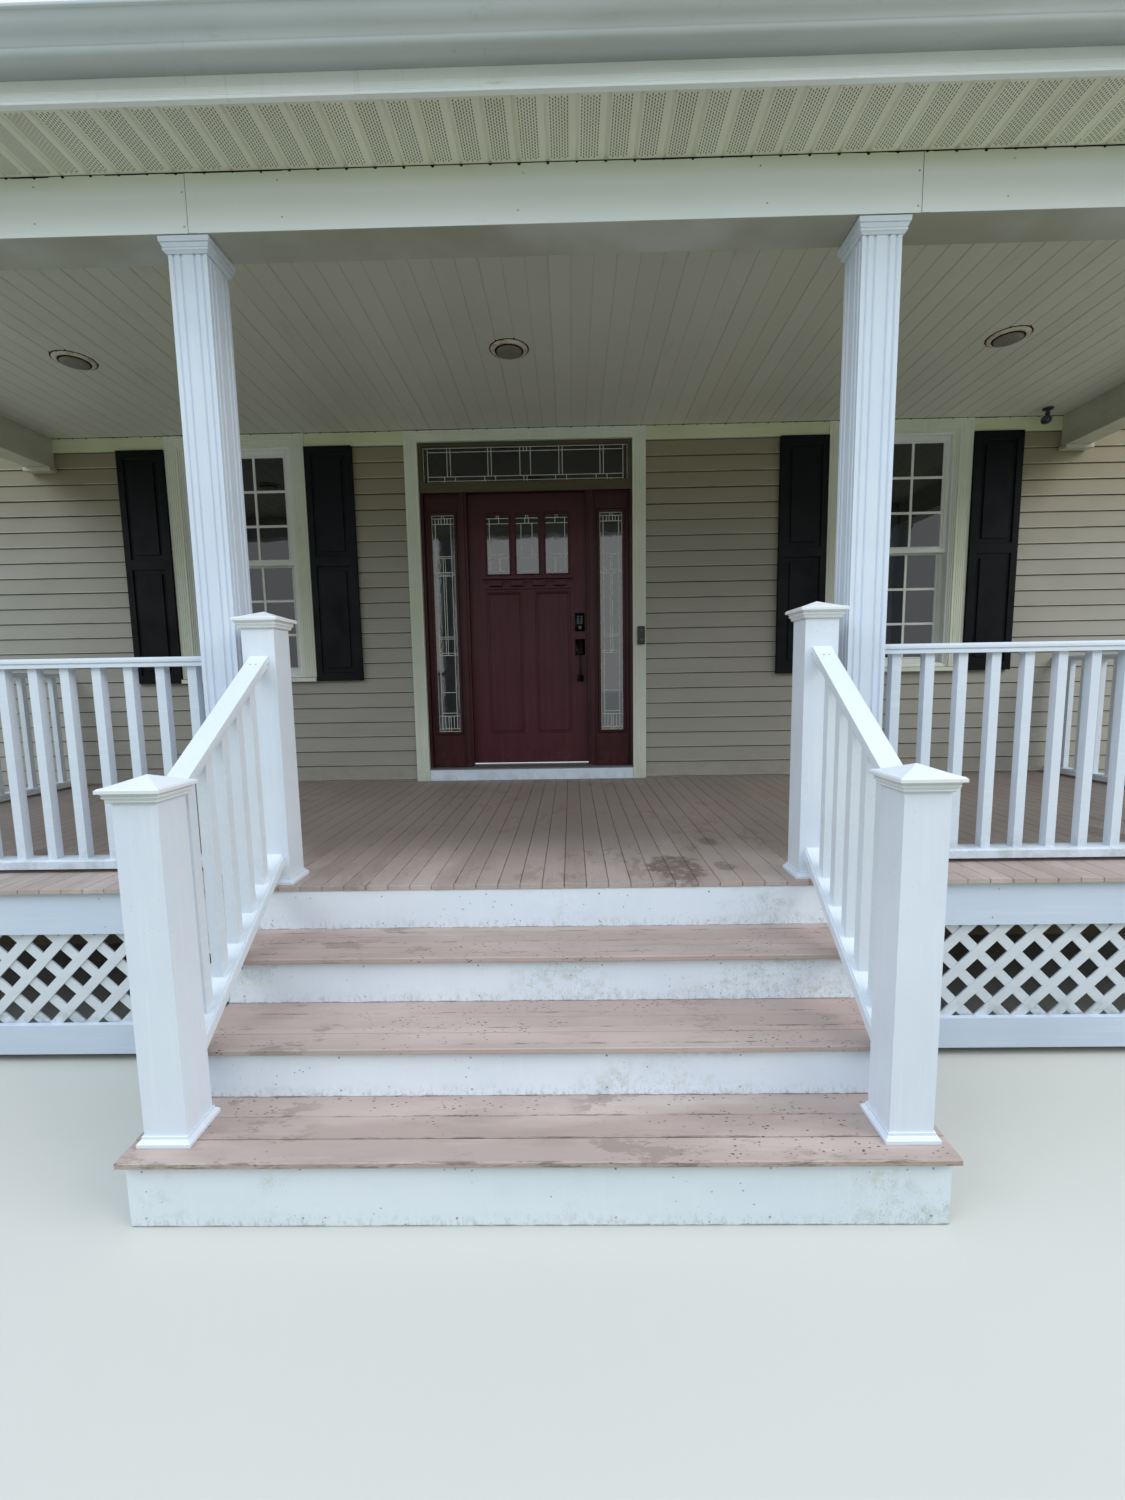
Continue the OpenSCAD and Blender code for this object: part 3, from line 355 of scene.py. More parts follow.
# A dark matte sheet: real holes and gaps, and painted shadow lines.
def dark_matte(name, base, other):
    finish(name, base, {"rough": 0.9, "shine": 0.1}, ((other, 0.7, (0.4, 0.7, 18, 4)),), None, (0.05, 200, 2))


SHEETS = (
    (white_paint, (
        ("rail", "#dce3ee", "#cdd5e1", "X", 0.745), ("stair_rail", "#e6ecf4", "#d8dfe8", "Y", None, 0.4),
        ("newel", "#e6ecf6", "#d9e0ec", "Z", 0.0, 0.6), ("newel_cap", "#eef0f4", "#dce0e6", "X"),
        ("column", "#dfe8f6", "#d1dbeb", "Z", 0.72, 0.4), ("trim", "#e6f0fd", "#d3e0f2", "Z", 0.715, 0.4),
        # The casing and frieze whites are greyer and olive, partly painted shade under the porch roof.
        ("casing", "#dce0d3", "#cbd0bd", "Z", 0.72), ("frieze", "#cfd3b2", "#bcc29c", "X"),
        ("window", "#e4e6e3", "#d3d7d3", "Z"), ("lattice", "#dfe3e9", "#ced4dc", "X", 0.15, 0.8),
        ("rim", "#d3deee", "#c6d2e4", "X", None, 0.35))),
    (worn_boards, (
        ("deck_paint", "#b5a39b", ("X", BOARD, BOARD_PHASE), "Y", 0.45, DECK_STAINS,
         # Band of painted shade under the porch roof.
         (deck_lo.y + 0.15, deck_lo.y + 0.85)),
        ("tread_paint", "#b7a098", ("Y", TREAD_BOARD, WALL_FACE - 3.199), "X", 1.0))),
    (ceiling_vinyl, (("ceiling_panel", "#cdccc0", CEIL_PHASE), ("soffit_panel", "#e3e3d2", SOFFIT_PHASE))),
    (glass, (("window_glass", "#07090a", 0.02, 1.75, 0.5), ("leaded_glass", "#080a0b", 0.03, 2.0, 0.6, 0.16),
             ("transom_glass", "#0a0b09", 0.04, 1.9, 0.35, 0.12))),
    (coil_metal, (("side_beam_wrap", "#bcbbac", "#a8a797"), ("fascia_metal", "#edf2f4", "#dde3e2"),
                  ("gutter_metal", "#bec6c8", "#acb4b5"), ("flashing_metal", "#8b8f92", "#6d7073"))),
    (door_paint, (("door_red", "#4e222b", "#36151b"), ("door_frame_red", "#3f191c", "#2a0f11"))),
    (black_plastic, (("black_plastic", "#121316", 0.38), ("black_lens", "#05060a", 0.08),
                     ("lock_keys", "#4a4d52", 0.4))),
    # The gap and door lines are mostly painted shadow; the light rings are partly painted shadow; the soffit holes
    # are real.
    (dark_matte, (("slot_dark", "#1c1d17", "#34352b"), ("soffit_holes", "#5f6053", "#757667"),
                 ("door_lines", "#190a0c", "#2b1216"), ("light_gasket", "#1d1a13", "#4a3322"))),
    (finish, (
        ("beam_wrap", "#f4faff", {"rough": 0.36},
         # Painted shade: olive towards the soffit, with some mildew; down-facing faces taupe, partly their own colour
         # and partly painted shade.
         (("#b2ba90", 0.68, (beam_lo.z + 0.12, soffit_z, "Z")), ("#a2a192", 1.0, (-0.4, -0.8, "up")),
          ("#e8f0f6", 0.4, (0.4, 0.7, 1.1, 4)), ("#9aa08c", 0.20, (0.64, 0.84, (5, 5, 16), 5, 0.7, 2.0))),
         (0.5, (0.4, 0.7, 4, 3)), (1.6, (2.5, 9, 9), 3), (0.08, 120, 2)),
        ("framing_wood", "#65594a", {"rough": 0.75},
         (("#5c4a34", 0.6, (0.45, 0.75, (2, 60, 60), 6, 0.7, 1.0, 0.3)), ("#b19a76", 0.4, (0.5, 0.75, 3, 4)),
          ("#3e352a", 0.5, (0.6, 0.8, (5, 140, 140), 4, 0.7, 7.0))), None, (0.9, (9, 170, 170), 4)),
        ("transom_brown", "#4d4530", {"shine": 0.35},
         (("#403a2a", 0.6, (0.4, 0.7, (3, 20, 30), 5)), ("#6f664d", 0.4, (0.55, 0.8, (8, 50, 60), 4, 0.6, 3.0))),
         None, (0.3, (8, 90, 110), 4)),
        ("lead_came", "#d9dbd2", {"rough": 0.34, "metal": 0.15},
         (("#a9aca3", 0.5, (0.4, 0.7, 40, 4)), ("#f0f1ec", 0.4, (0.55, 0.8, 120, 3, 0.5, 2.0))),
         None, (0.15, 150, 3)),
        ("dark_hardware", "#211e1d", {"rough": 0.34, "metal": 0.85},
         (("#3b2f27", 0.6, (0.45, 0.72, 30, 5)), ("#0f0e0e", 0.5, (0.5, 0.75, 85, 4, 0.6, 4.0))),
         (0.5, (0.4, 0.7, 22, 4)), (0.08, 210, 3)),
        ("threshold_metal", "#85878a", {"rough": 0.42, "metal": 0.6},
         (("#6f7272", 0.6, (0.45, 0.75, (3, 60, 60), 5, 0.7)), ("#5c554b", 0.5, (0.55, 0.75, 12, 5, 0.7, 2.0))),
         (0.5, (0.4, 0.7, 14, 4)), (0.12, (6, 300, 300), 3)),
        ("light_lens", "#7f7b70", {"rough": 0.34, "shine": 0.3},
         (("#65615a", 0.5, (0.42, 0.7, (60, 18, 10), 5, 0.7)), ("#928e84", 0.4, (0.5, 0.75, 30, 4, 0.6, 3.0))),
         None, (0.4, "cells", 220)),
        ("nail_paint", "#b6bab4", {"rough": 0.45}, (("#7b6d5b", 0.7, (0.48, 0.64, 35, 3)),), None, (0.05, 300, 2)))),
)
for make, rows in SHEETS:
    for row in rows:
        make(*row)

# White risers with cloudy dirt, fine specks and pocks, and a dark line along their foot.
f = Finish("riser_paint", "#eff5fd")
f.tint("#e0e9f4", 0.6, (0.36, 0.7, (1.5, 1.5, 3), 4, 0.6))
f.tint("#f4f8fc", 0.35, (0.5, 0.8, (40, 4, 3), 3))
dirty = f.where((0.46, 0.62, (1.9, 1.9, 4.5), 4, 0.55, 5.0))
f.tint("#bcc2b4", 0.55, dirty, (0.46, 0.66, (26, 26, 20), 5, 0.75, 1.0))
f.tint("#9aa093", 0.55, dirty, (0.54, 0.66, (170, 170, 90), 4, 0.8, 3.0))
f.tint("#868c82", 0.45, (0.66, 0.74, (210, 210, 120), 3, 0.7, 7.0))
for foot in (0.0, 0.208, 0.377, 0.546):
    above = (foot - 0.005, foot, "Z")
    f.tint("#a9b0a4", 0.50, (foot + 0.050, foot, "Z"), above, (0.47, 0.66, (70, 70, 30), 4, 0.75, foot * 9))
    f.tint("#55534b", 0.70, (foot + 0.006, foot, "Z"), above, (0.44, 0.56, (16, 16, 60), 4, 0.75, foot * 5))
pocks = f.where((0.12, 0.06, "cells", (38, 38, 46), 0.6), (0.50, 0.58, 4, 3, 0.5, 2.0))
f.tint("#4a4e4c", 0.85, pocks)
f.gloss(0.7, dirty)
f.grain(0.35, (120, 120, 10), 3)
f.relief(-0.6, pocks)
f.done()

# Vinyl siding with a painted shadow line under each lap, a painted highlight along each lap's lower edge, and painted
# shade darker towards the ceiling.
f = Finish("tan_siding", "#a09c93", 0.48, shine=0.4)
laps = ("Z", COURSE, COURSE_PHASE)
lap = f.boards("FRACT", *laps)
f.tint("#928c7f", 0.30, f.each(*laps))
f.tint("#aaa69d", 0.5, (0.4, 0.7, (0.9, 0.9, 2.4), 4))
f.tint("#857f72", 0.34, (0.56, 0.8, (3, 3, 90), 5, 0.7))
# Painted shade: darker and olive towards the ceiling, under the porch roof.
f.tint("#7d7148", 0.62, (2.20, 3.20, "Z"))
f.tint("#857f6f", 0.4, (0.95, 0.73, "Z"), (0.42, 0.7, 8, 5, 0.7, 3.0))
# Painted shadow, with some dirt, in a thin line under the butt of each lap.
f.tint("#18160f", 0.85, (0.930, 0.952, lap))
# Painted highlight along the lower edge of each lap.
f.tint("#c6bfaa", 0.45, (0.10, 0.03, lap), (0.4, 0.6, (2, 2, 8), 3))
f.gloss(0.62, (0.4, 0.7, 5, 3))
f.grain(0.45, (5, 5, 130), 5, 0.7)
f.grain(1.2, (0.8, 1, 9), 3)
f.done()

# Sheathing behind the siding, in sheets.
f = Finish("house_wall", "#cfc9bb", 0.85)
f.tint("#bdb6a6", 0.6, (0.4, 0.7, 1.1, 4))
f.tint("#aaa392", 0.25, f.each("X", WALL_SHEET, 0.1))
f.tint("#e0dbcf", 0.35, (0.5, 0.75, (14, 14, 10), 4))
seam = f.math("ABSOLUTE", f.math("SUBTRACT", f.boards("FRACT", "X", WALL_SHEET, 0.0), 0.5))
f.tint("#8d8778", 0.7, (0.004, 0.001, seam))
f.grain(0.5, 60, 4)
f.done()

# Cast concrete with pits, dirty near the ground.
f = Finish("foundation_concrete", "#9b978f", 0.88)
f.tint("#7f7b73", 0.7, (0.4, 0.7, 2.4, 6, 0.65))
f.tint("#b5b1a8", 0.5, (0.5, 0.75, 17, 5))
f.tint("#5f5c56", 0.5, (0.2, 0.08, "cells", 90))
f.tint("#5d5a50", 0.6, (0.25, 0.0, "Z"), (0.4, 0.7, 6, 5))
f.grain(1.2, 90, 4)
f.relief(-1.0, (0.2, 0.05, "cells", 70))
f.done()

# Black shutter paint with dust on what looks up.
f = Finish("shutter_black", "#040507", 0.42, shine=0.16)
f.tint("#090b10", 0.55, (0.4, 0.72, (2.2, 2.2, 1.2), 4))
f.tint("#060708", 0.5, (0.5, 0.75, (80, 80, 3), 4, 0.65))
f.tint("#3b3c39", 0.5, (0.62, 0.8, (16, 16, 9), 5, 0.7, 2.0), f.source("up"))
f.gloss(0.60, (0.4, 0.7, 6, 4))
f.grain(0.22, (150, 150, 5), 3)
f.done()

# Painted trim rings of the recessed lights, with rust specks where their paint has lifted.
f = Finish("light_metal", "#cfc6b6")
f.tint("#b3a996", 0.6, (0.4, 0.7, 14, 5))
rust = f.where((0.46, 0.56, 11, 4, 0.7, 6.0), (0.48, 0.62, 110, 4, 0.7, 2.0))
f.tint("#8a6444", 0.8, rust)
f.tint("#4a3424", 0.8, rust, (0.52, 0.66, 150, 3))
f.gloss(0.9, rust)
f.relief(0.4, rust)
f.grain(0.2, 160, 3)
f.done()

# Asphalt shingles, each tab of its own tone, with granules and some lichen.
f = Finish("asphalt_shingle", "#4b4a4b", 0.92)
f.tint("#625e5a", 0.35, f.each("Y", SHINGLE_STEP, WALL_FACE - 2.612))
f.tint("#38383b", 0.5, f.each("X", SHINGLE_TAB, 0.05, seed=7.0))
f.tint("#6f6a63", 0.5, (0.35, 0.1, "cells", 300))
f.tint("#2c2c2e", 0.6, (0.5, 0.7, 160, 4, 0.8))
f.tint("#5d6152", 0.4, (0.55, 0.75, 2.6, 5, 0.7, 3.0))
f.grain(1.1, "cells", 330)
f.grain(1.0, 240, 3)
f.done()

# ---------------------------------------------------------------- shapes


def sleeve(m, n, closed=False):
    """Faces of m rings of n points each: capped, or the last joined to the first if closed."""
    faces = [] if closed else [tuple(range(n)), tuple(range(m * n - 1, (m - 1) * n - 1, -1))]
    for j in range(m if closed else m - 1):
        k = (j + 1) % m
        faces += [(j * n + i, j * n + (i + 1) % n, k * n + (i + 1) % n, k * n + i) for i in range(n)]
    return faces


def cut_faces():
    """Faces of a box whose edges are cut. Point k of a corner stays in its face across axis k."""
    faces = []
    for k, a, b in ((0, 1, 2), (1, 0, 2), (2, 0, 1)):
        u, v, w = (4 >> i for i in (k, a, b))
        faces += [tuple(3 * (end + c) + k for c in (0, v, v + w, w)) for end in (0, u)]
        faces += [(3 * c + a, 3 * (c + u) + a, 3 * (c + u) + b, 3 * c + b) for c in (0, w, v, v + w)]
    return faces + [(3 * c, 3 * c + 1, 3 * c + 2) for c in range(8)]


CUT_FACES = cut_faces()


class Shape:
    """Collects faces in metres in the part's frame and turns them into one piece."""

    def __init__(self):
        self.verts, self.faces = [], []

    def add(self, verts, faces):
        n = len(self.verts)
        self.verts += verts
        self.faces += [tuple(n + i for i in f) for f in faces]

    def prism(self, outline, axis, a, b):
        """A closed outline, in the other two axes in order, run along an axis from a to b."""
        k = "XYZ".index(axis)
        self.add([(*p[:k], t, *p[k:]) for t in (a, b) for p in outline], sleeve(2, len(outline)))

    def box(self, x0, x1, y0, y1, z0, z1, cut=0.0):
        """A box, with its edges cut off by cut."""
        if not cut:
            self.prism([(y0, z0), (y1, z0), (y1, z1), (y0, z1)], "X", x0, x1)
            return
        ends = ((x0, x1), (y0, y1), (z0, z1))
        self.add([tuple(ends[i][s[i]] + (0 if i == k else (1 - 2 * s[i]) * cut) for i in range(3))
                  for s in itertools.product((0, 1), repeat=3) for k in range(3)], CUT_FACES)

    def ring(self, box, y, outline, out=1):
        """A mitred moulding round a box's face. The outline, in mm, holds how far inwards and along y times out."""
        lo, hi = box
        v = []
        for inwards, ahead in outline:
            d, h = inwards * MM, y + out * ahead * MM
            v += [(lo.x + d, h, lo.z + d), (hi.x - d, h, lo.z + d), (hi.x - d, h, hi.z - d), (lo.x + d, h, hi.z - d)]
        self.add(v, sleeve(len(outline), 4, True))

    def lathe(self, origin, axes, rows, loose, closed=False):
        """Rings round the third of axes: rows of (distance along it, radius), loose on each side, in mm."""
        a, b, along = axes
        v = []
        for t, r in rows:
            for i, more in enumerate(loose):
                w = 2 * math.pi * i / len(loose)
                v.append(tuple(Vector(origin) + (along * t + (a * math.cos(w) + b * math.sin(w)) * (r + more)) * MM))
        self.add(v, sleeve(len(rows), len(loose), closed))

    def disc(self, centre, axis, radius, height, sides, cut=0.0):
        """A round button whose far rim is cut, in mm; height may be negative."""
        x, y, z = Matrix.Identity(3)
        rows = [(0, radius), (height - math.copysign(cut, height), radius), (height, radius - cut)]
        self.lathe(centre, (x, z, y) if axis == "Y" else (x, y, z), rows if cut else rows[::2], [0] * sides)

    def turn(self, origin, ahead, rows, sides, closed=False, jitter=0.0):
        """A turned form: rows of (distance ahead of origin, radius) in mm, capped unless its outline is closed."""
        ahead = Vector(ahead).normalized()
        a = ahead.orthogonal().normalized()
        loose = [rng.uniform(-jitter, jitter) for i in range(sides)]
        self.lathe(origin, (a, ahead.cross(a), ahead), rows, loose, closed)

    def piece(self, name, mat, body=PORCH, slot=None, replaces=(), smooth=None):
        mesh = bpy.data.meshes.new(name)
        mesh.from_pydata(self.verts, [], self.faces)
        bm = bmesh.new()
        bm.from_mesh(mesh)
        bmesh.ops.recalc_face_normals(bm, faces=bm.faces)
        bm.to_mesh(mesh)
        bm.free()
        mesh.materials.append(MAT[mat])
        obj = bpy.data.objects.new(name, mesh)
        bpy.context.scene.collection.objects.link(obj)
        if smooth:
            shade(obj, smooth)
        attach(obj, body)
        if replaces:
            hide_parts(*replaces)
        return obj


def shade(obj, degrees):
    mesh = obj.data
    mesh.polygons.foreach_set("use_smooth", [True] * len(mesh.polygons))
    mesh.set_sharp_from_angle(angle=math.radians(degrees))


def modify(obj, name, kind, **settings):
    m = obj.modifiers.new(name, kind)
    for key, value in settings.items():
        setattr(m, key, value)


def weld(obj):
    modify(obj, "weld", "WELD", merge_threshold=0.00002)


def soften(obj, mm):
    """Welds a CAD mesh, clears its flat triangles and rounds its edges a little."""
    weld(obj)
    modify(obj, "flat", "DECIMATE", decimate_type="DISSOLVE", angle_limit=math.radians(0.5))
    modify(obj, "bevel", "BEVEL", width=mm * MM, segments=2, limit_method="ANGLE", angle_limit=math.radians(40))


# Finish, rounding of the edges in mm, and the CAD nodes that take both.
DRESSED = (
    ("framing_wood", 0, "sill_beam deck_frame roof_rafters roof_deck"), ("foundation_concrete", 0, "foundation_wall"),
    ("foundation_concrete", 3.0, "porch_piers"), ("house_wall", 0, "wall_left wall_right wall_over_door"),
    ("tan_siding", 0, "wall_siding roof_end_walls"), ("frieze_white", 1.5, "frieze_board"),
    ("trim_white", 1.5, "door_sill_board"), ("casing_white", 0, "door_casing window_casings"),
    ("threshold_metal", 1.0, "door_threshold"), ("door_frame_red", 1.5, "door_frame sidelight_panels"),
    ("transom_brown", 1.5, "transom_frame"), ("door_red", 1.2, "door_slab"),
    ("leaded_glass", 0, "entry_glass door_glass"), ("dark_hardware", 0, "door_handle_set door_lock door_hinges"),
    ("black_plastic", 4.0, "doorbell"), ("window_white", 1.5, "window_sashes"), ("window_glass", 0, "window_glass"),
    ("shutter_black", 2.5, "shutters"), ("rim_white", 1.5, "deck_rim_boards lattice_boards"),
    ("lattice_white", 0, "lattice_front lattice_sides"), ("riser_paint", 1.0, "stair_stringers stair_risers"),
    ("newel_white", 1.8, "newel_posts"), ("newel_cap_white", 1.2, "newel_caps"),
    ("stair_rail_white", 1.5, "stair_rails"), ("rail_white", 1.5, "deck_rails_front deck_rails_side"),
    ("column_white", 0, "columns"), ("column_white", 1.0, "column_capitals"), ("beam_wrap", 3.0, "front_beam"),
    ("side_beam_wrap", 3.0, "side_beams"), ("light_metal", 0, "ceiling_lights"),
    ("fascia_metal", 1.5, "fascia_boards"), ("gutter_metal", 0, "gutter"),
)
for mat, mm, names in DRESSED:
    for name in names.split():
        obj = NODES[name]
        obj.data.materials.clear()
        obj.data.materials.append(MAT[mat])
        if mm:
            soften(obj, mm)
for name, degrees in (("ceiling_lights", 32), ("door_handle_set", 32), ("door_lock", 32), ("door_hinges", 32),
                      ("gutter", 60)):
    weld(NODES[name])
    shade(NODES[name], degrees)
entry = NODES["entry_glass"].data
entry.materials.append(MAT["transom_glass"])
for face in entry.polygons:
    face.material_index = int(face.center.z > TRANSOM[0].z - 0.001)


# ---------------------------------------------------------------- floor, treads, ceiling, soffit


def rows_between(lo, hi, phase, pitch=GROOVE):
    """Number and place of each groove or seam from lo to hi."""
    k = math.ceil((lo - phase) / pitch)
    while phase + k * pitch < hi:
        yield k, phase + k * pitch
        k += 1


def floor_boards():
    s = Shape()
    gap, edge = 0.0020, 0.0012
    for k, x in rows_between(deck_lo.x - BOARD, deck_hi.x - 0.004, BOARD_PHASE, BOARD):
        a, b = max(deck_lo.x, x) + gap / 2, min(deck_hi.x, x + BOARD) - gap / 2
        if b - a > 0.01:
            sink, back = rng.uniform(0, 0.0006), rng.uniform(0, 0.0012)
            s.box(a, b, deck_lo.y + back, deck_hi.y, deck_lo.z, deck_hi.z - sink, edge)
    s.piece("deck_boards", "deck_paint", slot="deck_paint", replaces=["deck_floor"])


def tread_boards():
    s = Shape()
    gap, nose, edge = 0.0018, 0.003, 0.0011
    for lo, hi in sorted(solids("stair_treads"), key=lambda b: b[0].z):
        cuts = [lo.y, lo.y + TREAD_BOARD, lo.y + 2 * TREAD_BOARD, hi.y]
        for i in range(3):
            sink = rng.uniform(0, 0.0005)
            s.box(lo.x, hi.x, cuts[i] + (gap / 2 if i else 0), cuts[i + 1] - (gap / 2 if i < 2 else 0),
                  lo.z, hi.z - sink, edge if i else nose)
    s.piece("tread_boards", "tread_paint", slot="deck_paint", replaces=["stair_treads"])


def grooved(lo, hi, phase, half, deep):
    """Outline in (x, z) of a panel with V grooves in its underside; each third one is a wider seam."""
    line = [(lo.x, lo.z)]
    for k, x in rows_between(lo.x + 0.01, hi.x - 0.01, phase):
        w, d = (half, deep) if k % 3 else (half * 1.35, deep * 1.5)
        line += [(x - w, lo.z), (x - w * 0.25, lo.z + d), (x + w * 0.25, lo.z + d), (x + w, lo.z)]
    return line + [(hi.x, lo.z), (hi.x, hi.z), (lo.x, hi.z)]


def ceiling_panel():
    """The grooved ceiling, with holes for its lights."""
    hole_radius = 79
    s, holes = Shape(), Shape()
    s.prism(grooved(ceil_lo, ceil_hi, CEIL_PHASE, 0.0036, 0.0030), "Y", ceil_lo.y, ceil_hi.y)
    panel = s.piece("ceiling_panel", "ceiling_panel", slot="ceiling_panel", replaces=["porch_ceiling"])
    for lo, hi in solids("ceiling_lights"):
        c = (lo + hi) / 2
        holes.disc((c.x, c.y, ceil_lo.z - 0.02), "Z", hole_radius, 50, 48)
    cutter = holes.piece("hole_cutter", "ceiling_panel")
    modify(panel, "cut", "BOOLEAN", operation="DIFFERENCE", solver="EXACT", object=cutter)
    bpy.context.view_layer.update()
    dg = bpy.context.evaluated_depsgraph_get()
    mesh = bpy.data.meshes.new_from_object(panel.evaluated_get(dg))
    panel.modifiers.clear()
    panel.data = mesh
    bpy.data.objects.remove(cutter)


def soffit_panels():
    """The grooved soffit, plain sloping ones at the ends, and the rows of air slots."""
    strip = 0.010
    front_panel, *ends = sorted(solids("eave_soffit"), key=width, reverse=True)
    lo, hi = front_panel
    s, slots = Shape(), Shape()
    s.prism(grooved(lo, hi, SOFFIT_PHASE, 0.0070, 0.0060), "Y", lo.y, hi.y)
    for a, b in ends:
        s.prism([(a.y, a.z), (b.y, b.z - strip), (b.y, b.z), (a.y, a.z + strip)], "X", a.x, b.x)
    s.piece("soffit_panels", "soffit_panel", slot="soffit_panel", replaces=["eave_soffit"])
    step, row, wide, long = 0.0093, 0.0120, 0.0036, 0.0080
    for k, groove in rows_between(lo.x + 0.02, hi.x - GROOVE, SOFFIT_PHASE):
        for column in range(7):
            x = groove + 0.0125 + column * step
            y = lo.y + 0.016 + (0.006 if column % 2 else 0)
            while y + long < hi.y - 0.010:
                slots.box(x, x + wide, y, y + long, lo.z - 0.0001, lo.z + 0.0004)
                y += row
    slots.piece("soffit_slots", "soffit_holes", slot="soffit_panel")


floor_boards()
tread_boards()
ceiling_panel()
soffit_panels()

# ---------------------------------------------------------------- windows and entrance glass


def window_bars():
    s = Shape()
    wide, deep, edge = 0.018, 0.006, 0.0015
    for lo, hi in solids("window_glass"):
        y0, y1 = lo.y - deep, lo.y + 0.001
        for i in (1, 2):
            x, z = (a + (b - a) * i / 3 for a, b in ((lo.x, hi.x), (lo.z, hi.z)))
            s.box(x - wide / 2, x + wide / 2, y0, y1, lo.z, hi.z, edge)
            s.box(lo.x, hi.x, y0 + 0.0004, y1, z - wide / 2, z + wide / 2, edge)
    s.piece("window_bars", "window_white", slot="window_white")


def window_trims():
    """Glazing beads, the brickmould inside each casing and a lock on each meeting rail."""
    s = Shape()
    for pane in solids("window_glass"):
        s.ring(pane, front(pane), ((-1, 0.5), (-1, -8.5), (3, -8.5), (8, -1), (8, 0.5)))
    meet = min(hi.z for lo, hi in solids("window_glass"))
    for lo, hi in solids("window_sashes"):
        x, y = (lo.x + hi.x) / 2, WALL_FACE
        s.ring((lo, hi), y, ((0, 19.8), (0, 2), (9, 2), (12, 9), (21, 11), (25.5, 19.8)))
        s.box(x - 0.03, x + 0.03, y + 0.062, y + 0.082, meet + 0.038, meet + 0.046, 0.002)
        s.box(x - 0.006, x + 0.034, y + 0.066, y + 0.076, meet + 0.046, meet + 0.053, 0.002)
    s.piece("window_trims", "window_white", slot="window_white")


class Cames:
    """Lead strips over a pane: places are given in mm from its left and top edges."""

    def __init__(self, shape, pane, mirror=False, wide=None, high=None):
        """wide and high are the pane's size in mm by which the places are scaled to it."""
        self.shape, (self.lo, self.hi), self.mirror = shape, pane, mirror
        self.kx = width(pane) / wide if wide else MM
        self.kz = (self.hi.z - self.lo.z) / high if high else MM

    def bar(self, x0, x1, z0, z1, proud):
        self.shape.box(x0, x1, self.lo.y - proud, self.lo.y + 0.0005, z0, z1, 0.0010)

    def x(self, mm):
        return self.hi.x - mm * self.kx if self.mirror else self.lo.x + mm * self.kx

    def z(self, mm):
        return self.hi.z - mm * self.kz

    def down(self, places, z0, z1, wide=0.0052):
        for x in map(self.x, places):
            self.bar(x - wide / 2, x + wide / 2, self.z(z1), self.z(z0), 0.0022)

    def across(self, places, x0, x1, wide=0.0052):
        for z in map(self.z, places):
            self.bar(*sorted((self.x(x0), self.x(x1))), z - wide / 2, z + wide / 2, 0.0018)

    def squares(self, places, z, half):
        for x in places:
            self.across((z - half, z + half), x - half, x + half, 0.004)
            self.down((x - half, x + half), z - half, z + half, 0.004)


def door_cames():
    """The three lites of the door: 180 by 443 mm each."""
    s = Shape()
    for i, pane in enumerate(solids("door_glass")):
        c = Cames(s, pane, mirror=i == 2)
        c.across((3, 27, 65, 440), 0, 180)
        c.down((3, 177), 0, 443)
        c.squares((90,), 15, 9)
        if i == 1:
            c.down((44, 128), 65, 318)
            c.down((75, 102), 27, 65)
            c.across((292,), 0, 44)
            c.across((292,), 128, 180)
            c.across((318, 414), 0, 180)
            c.squares((64, 90, 116), 427, 9)
        else:
            c.down((27,), 27, 414)
            c.down((100,), 27, 65)
            c.across((292, 318, 414), 3, 177)
            c.down((105, 98), 318, 414)
            c.squares((102,), 427, 8)
    s.piece("door_cames", "lead_came", DOOR, slot="clear_glass")


def entry_cames():
    """Sidelights, 170 by 1630 mm, and the transom, 1512 by 255 mm."""
    s = Shape()
    for i, pane in enumerate(SIDELIGHTS):
        c = Cames(s, pane, mirror=i == 1, high=1630)
        c.across((3, 24, 64, 1507, 1606, 1627), 0, 170)
        c.across((300, 312, 417, 444, 900, 915, 1022, 1040, 1324, 1484), 27, 143)
        c.down((3, 167), 0, 1630)
        c.down((27, 143), 24, 1606)
        c.down((52, 72, 98, 118), 24, 64)
        c.down((77, 93), 312, 1040)
        c.down((52, 77, 93, 118), 1507, 1606)
        c.squares((58, 85, 112), 430, 9)
        for z in (430, 1031):
            c.squares((14, 156), z, 8)
        for z in (14, 1616):
            c.squares((85,), z, 9)
    c = Cames(s, TRANSOM, wide=1512, high=255)
    c.across((3, 252), 3, 1509)
    c.across((31, 205, 236), 34, 1478)
    c.down((3, 1509), 0, 255)
    c.down((34, 1478), 3, 252)
    c.down((178, 203, 481, 506, 718, 796, 1006, 1031, 1309, 1334), 3, 205)
    c.down((745, 769), 205, 252)
    c.down((745, 769), 3, 31)
    c.down((157, 237, 455, 535, 980, 1060, 1280, 1360), 205, 236)
    c.down((132, 156, 433, 457, 1060, 1084, 1362, 1386), 236, 252)
    s.piece("entry_cames", "lead_came", PORCH, slot="clear_glass")


def door_mouldings():
    """Mouldings round the door's lites and in its panels, outside and inside."""
    s = Shape()
    for y, out in ((SLAB_LO.y, -1), (SLAB_HI.y, 1)):
        for pane in solids("door_glass"):
            s.ring(pane, y, ((-12, 0), (-11, 4), (-6, 6), (-1, 3), (6, -4), (6, -10), (0, -10), (0, 0)), out)
        for panel in DOOR_PANELS:
            s.ring(panel, y, ((0, 9), (0, 0.4), (4, 0.4), (12, 5), (18, 8), (18, 9)), -out)
    s.piece("door_mouldings", "door_red", DOOR, slot="door_red")


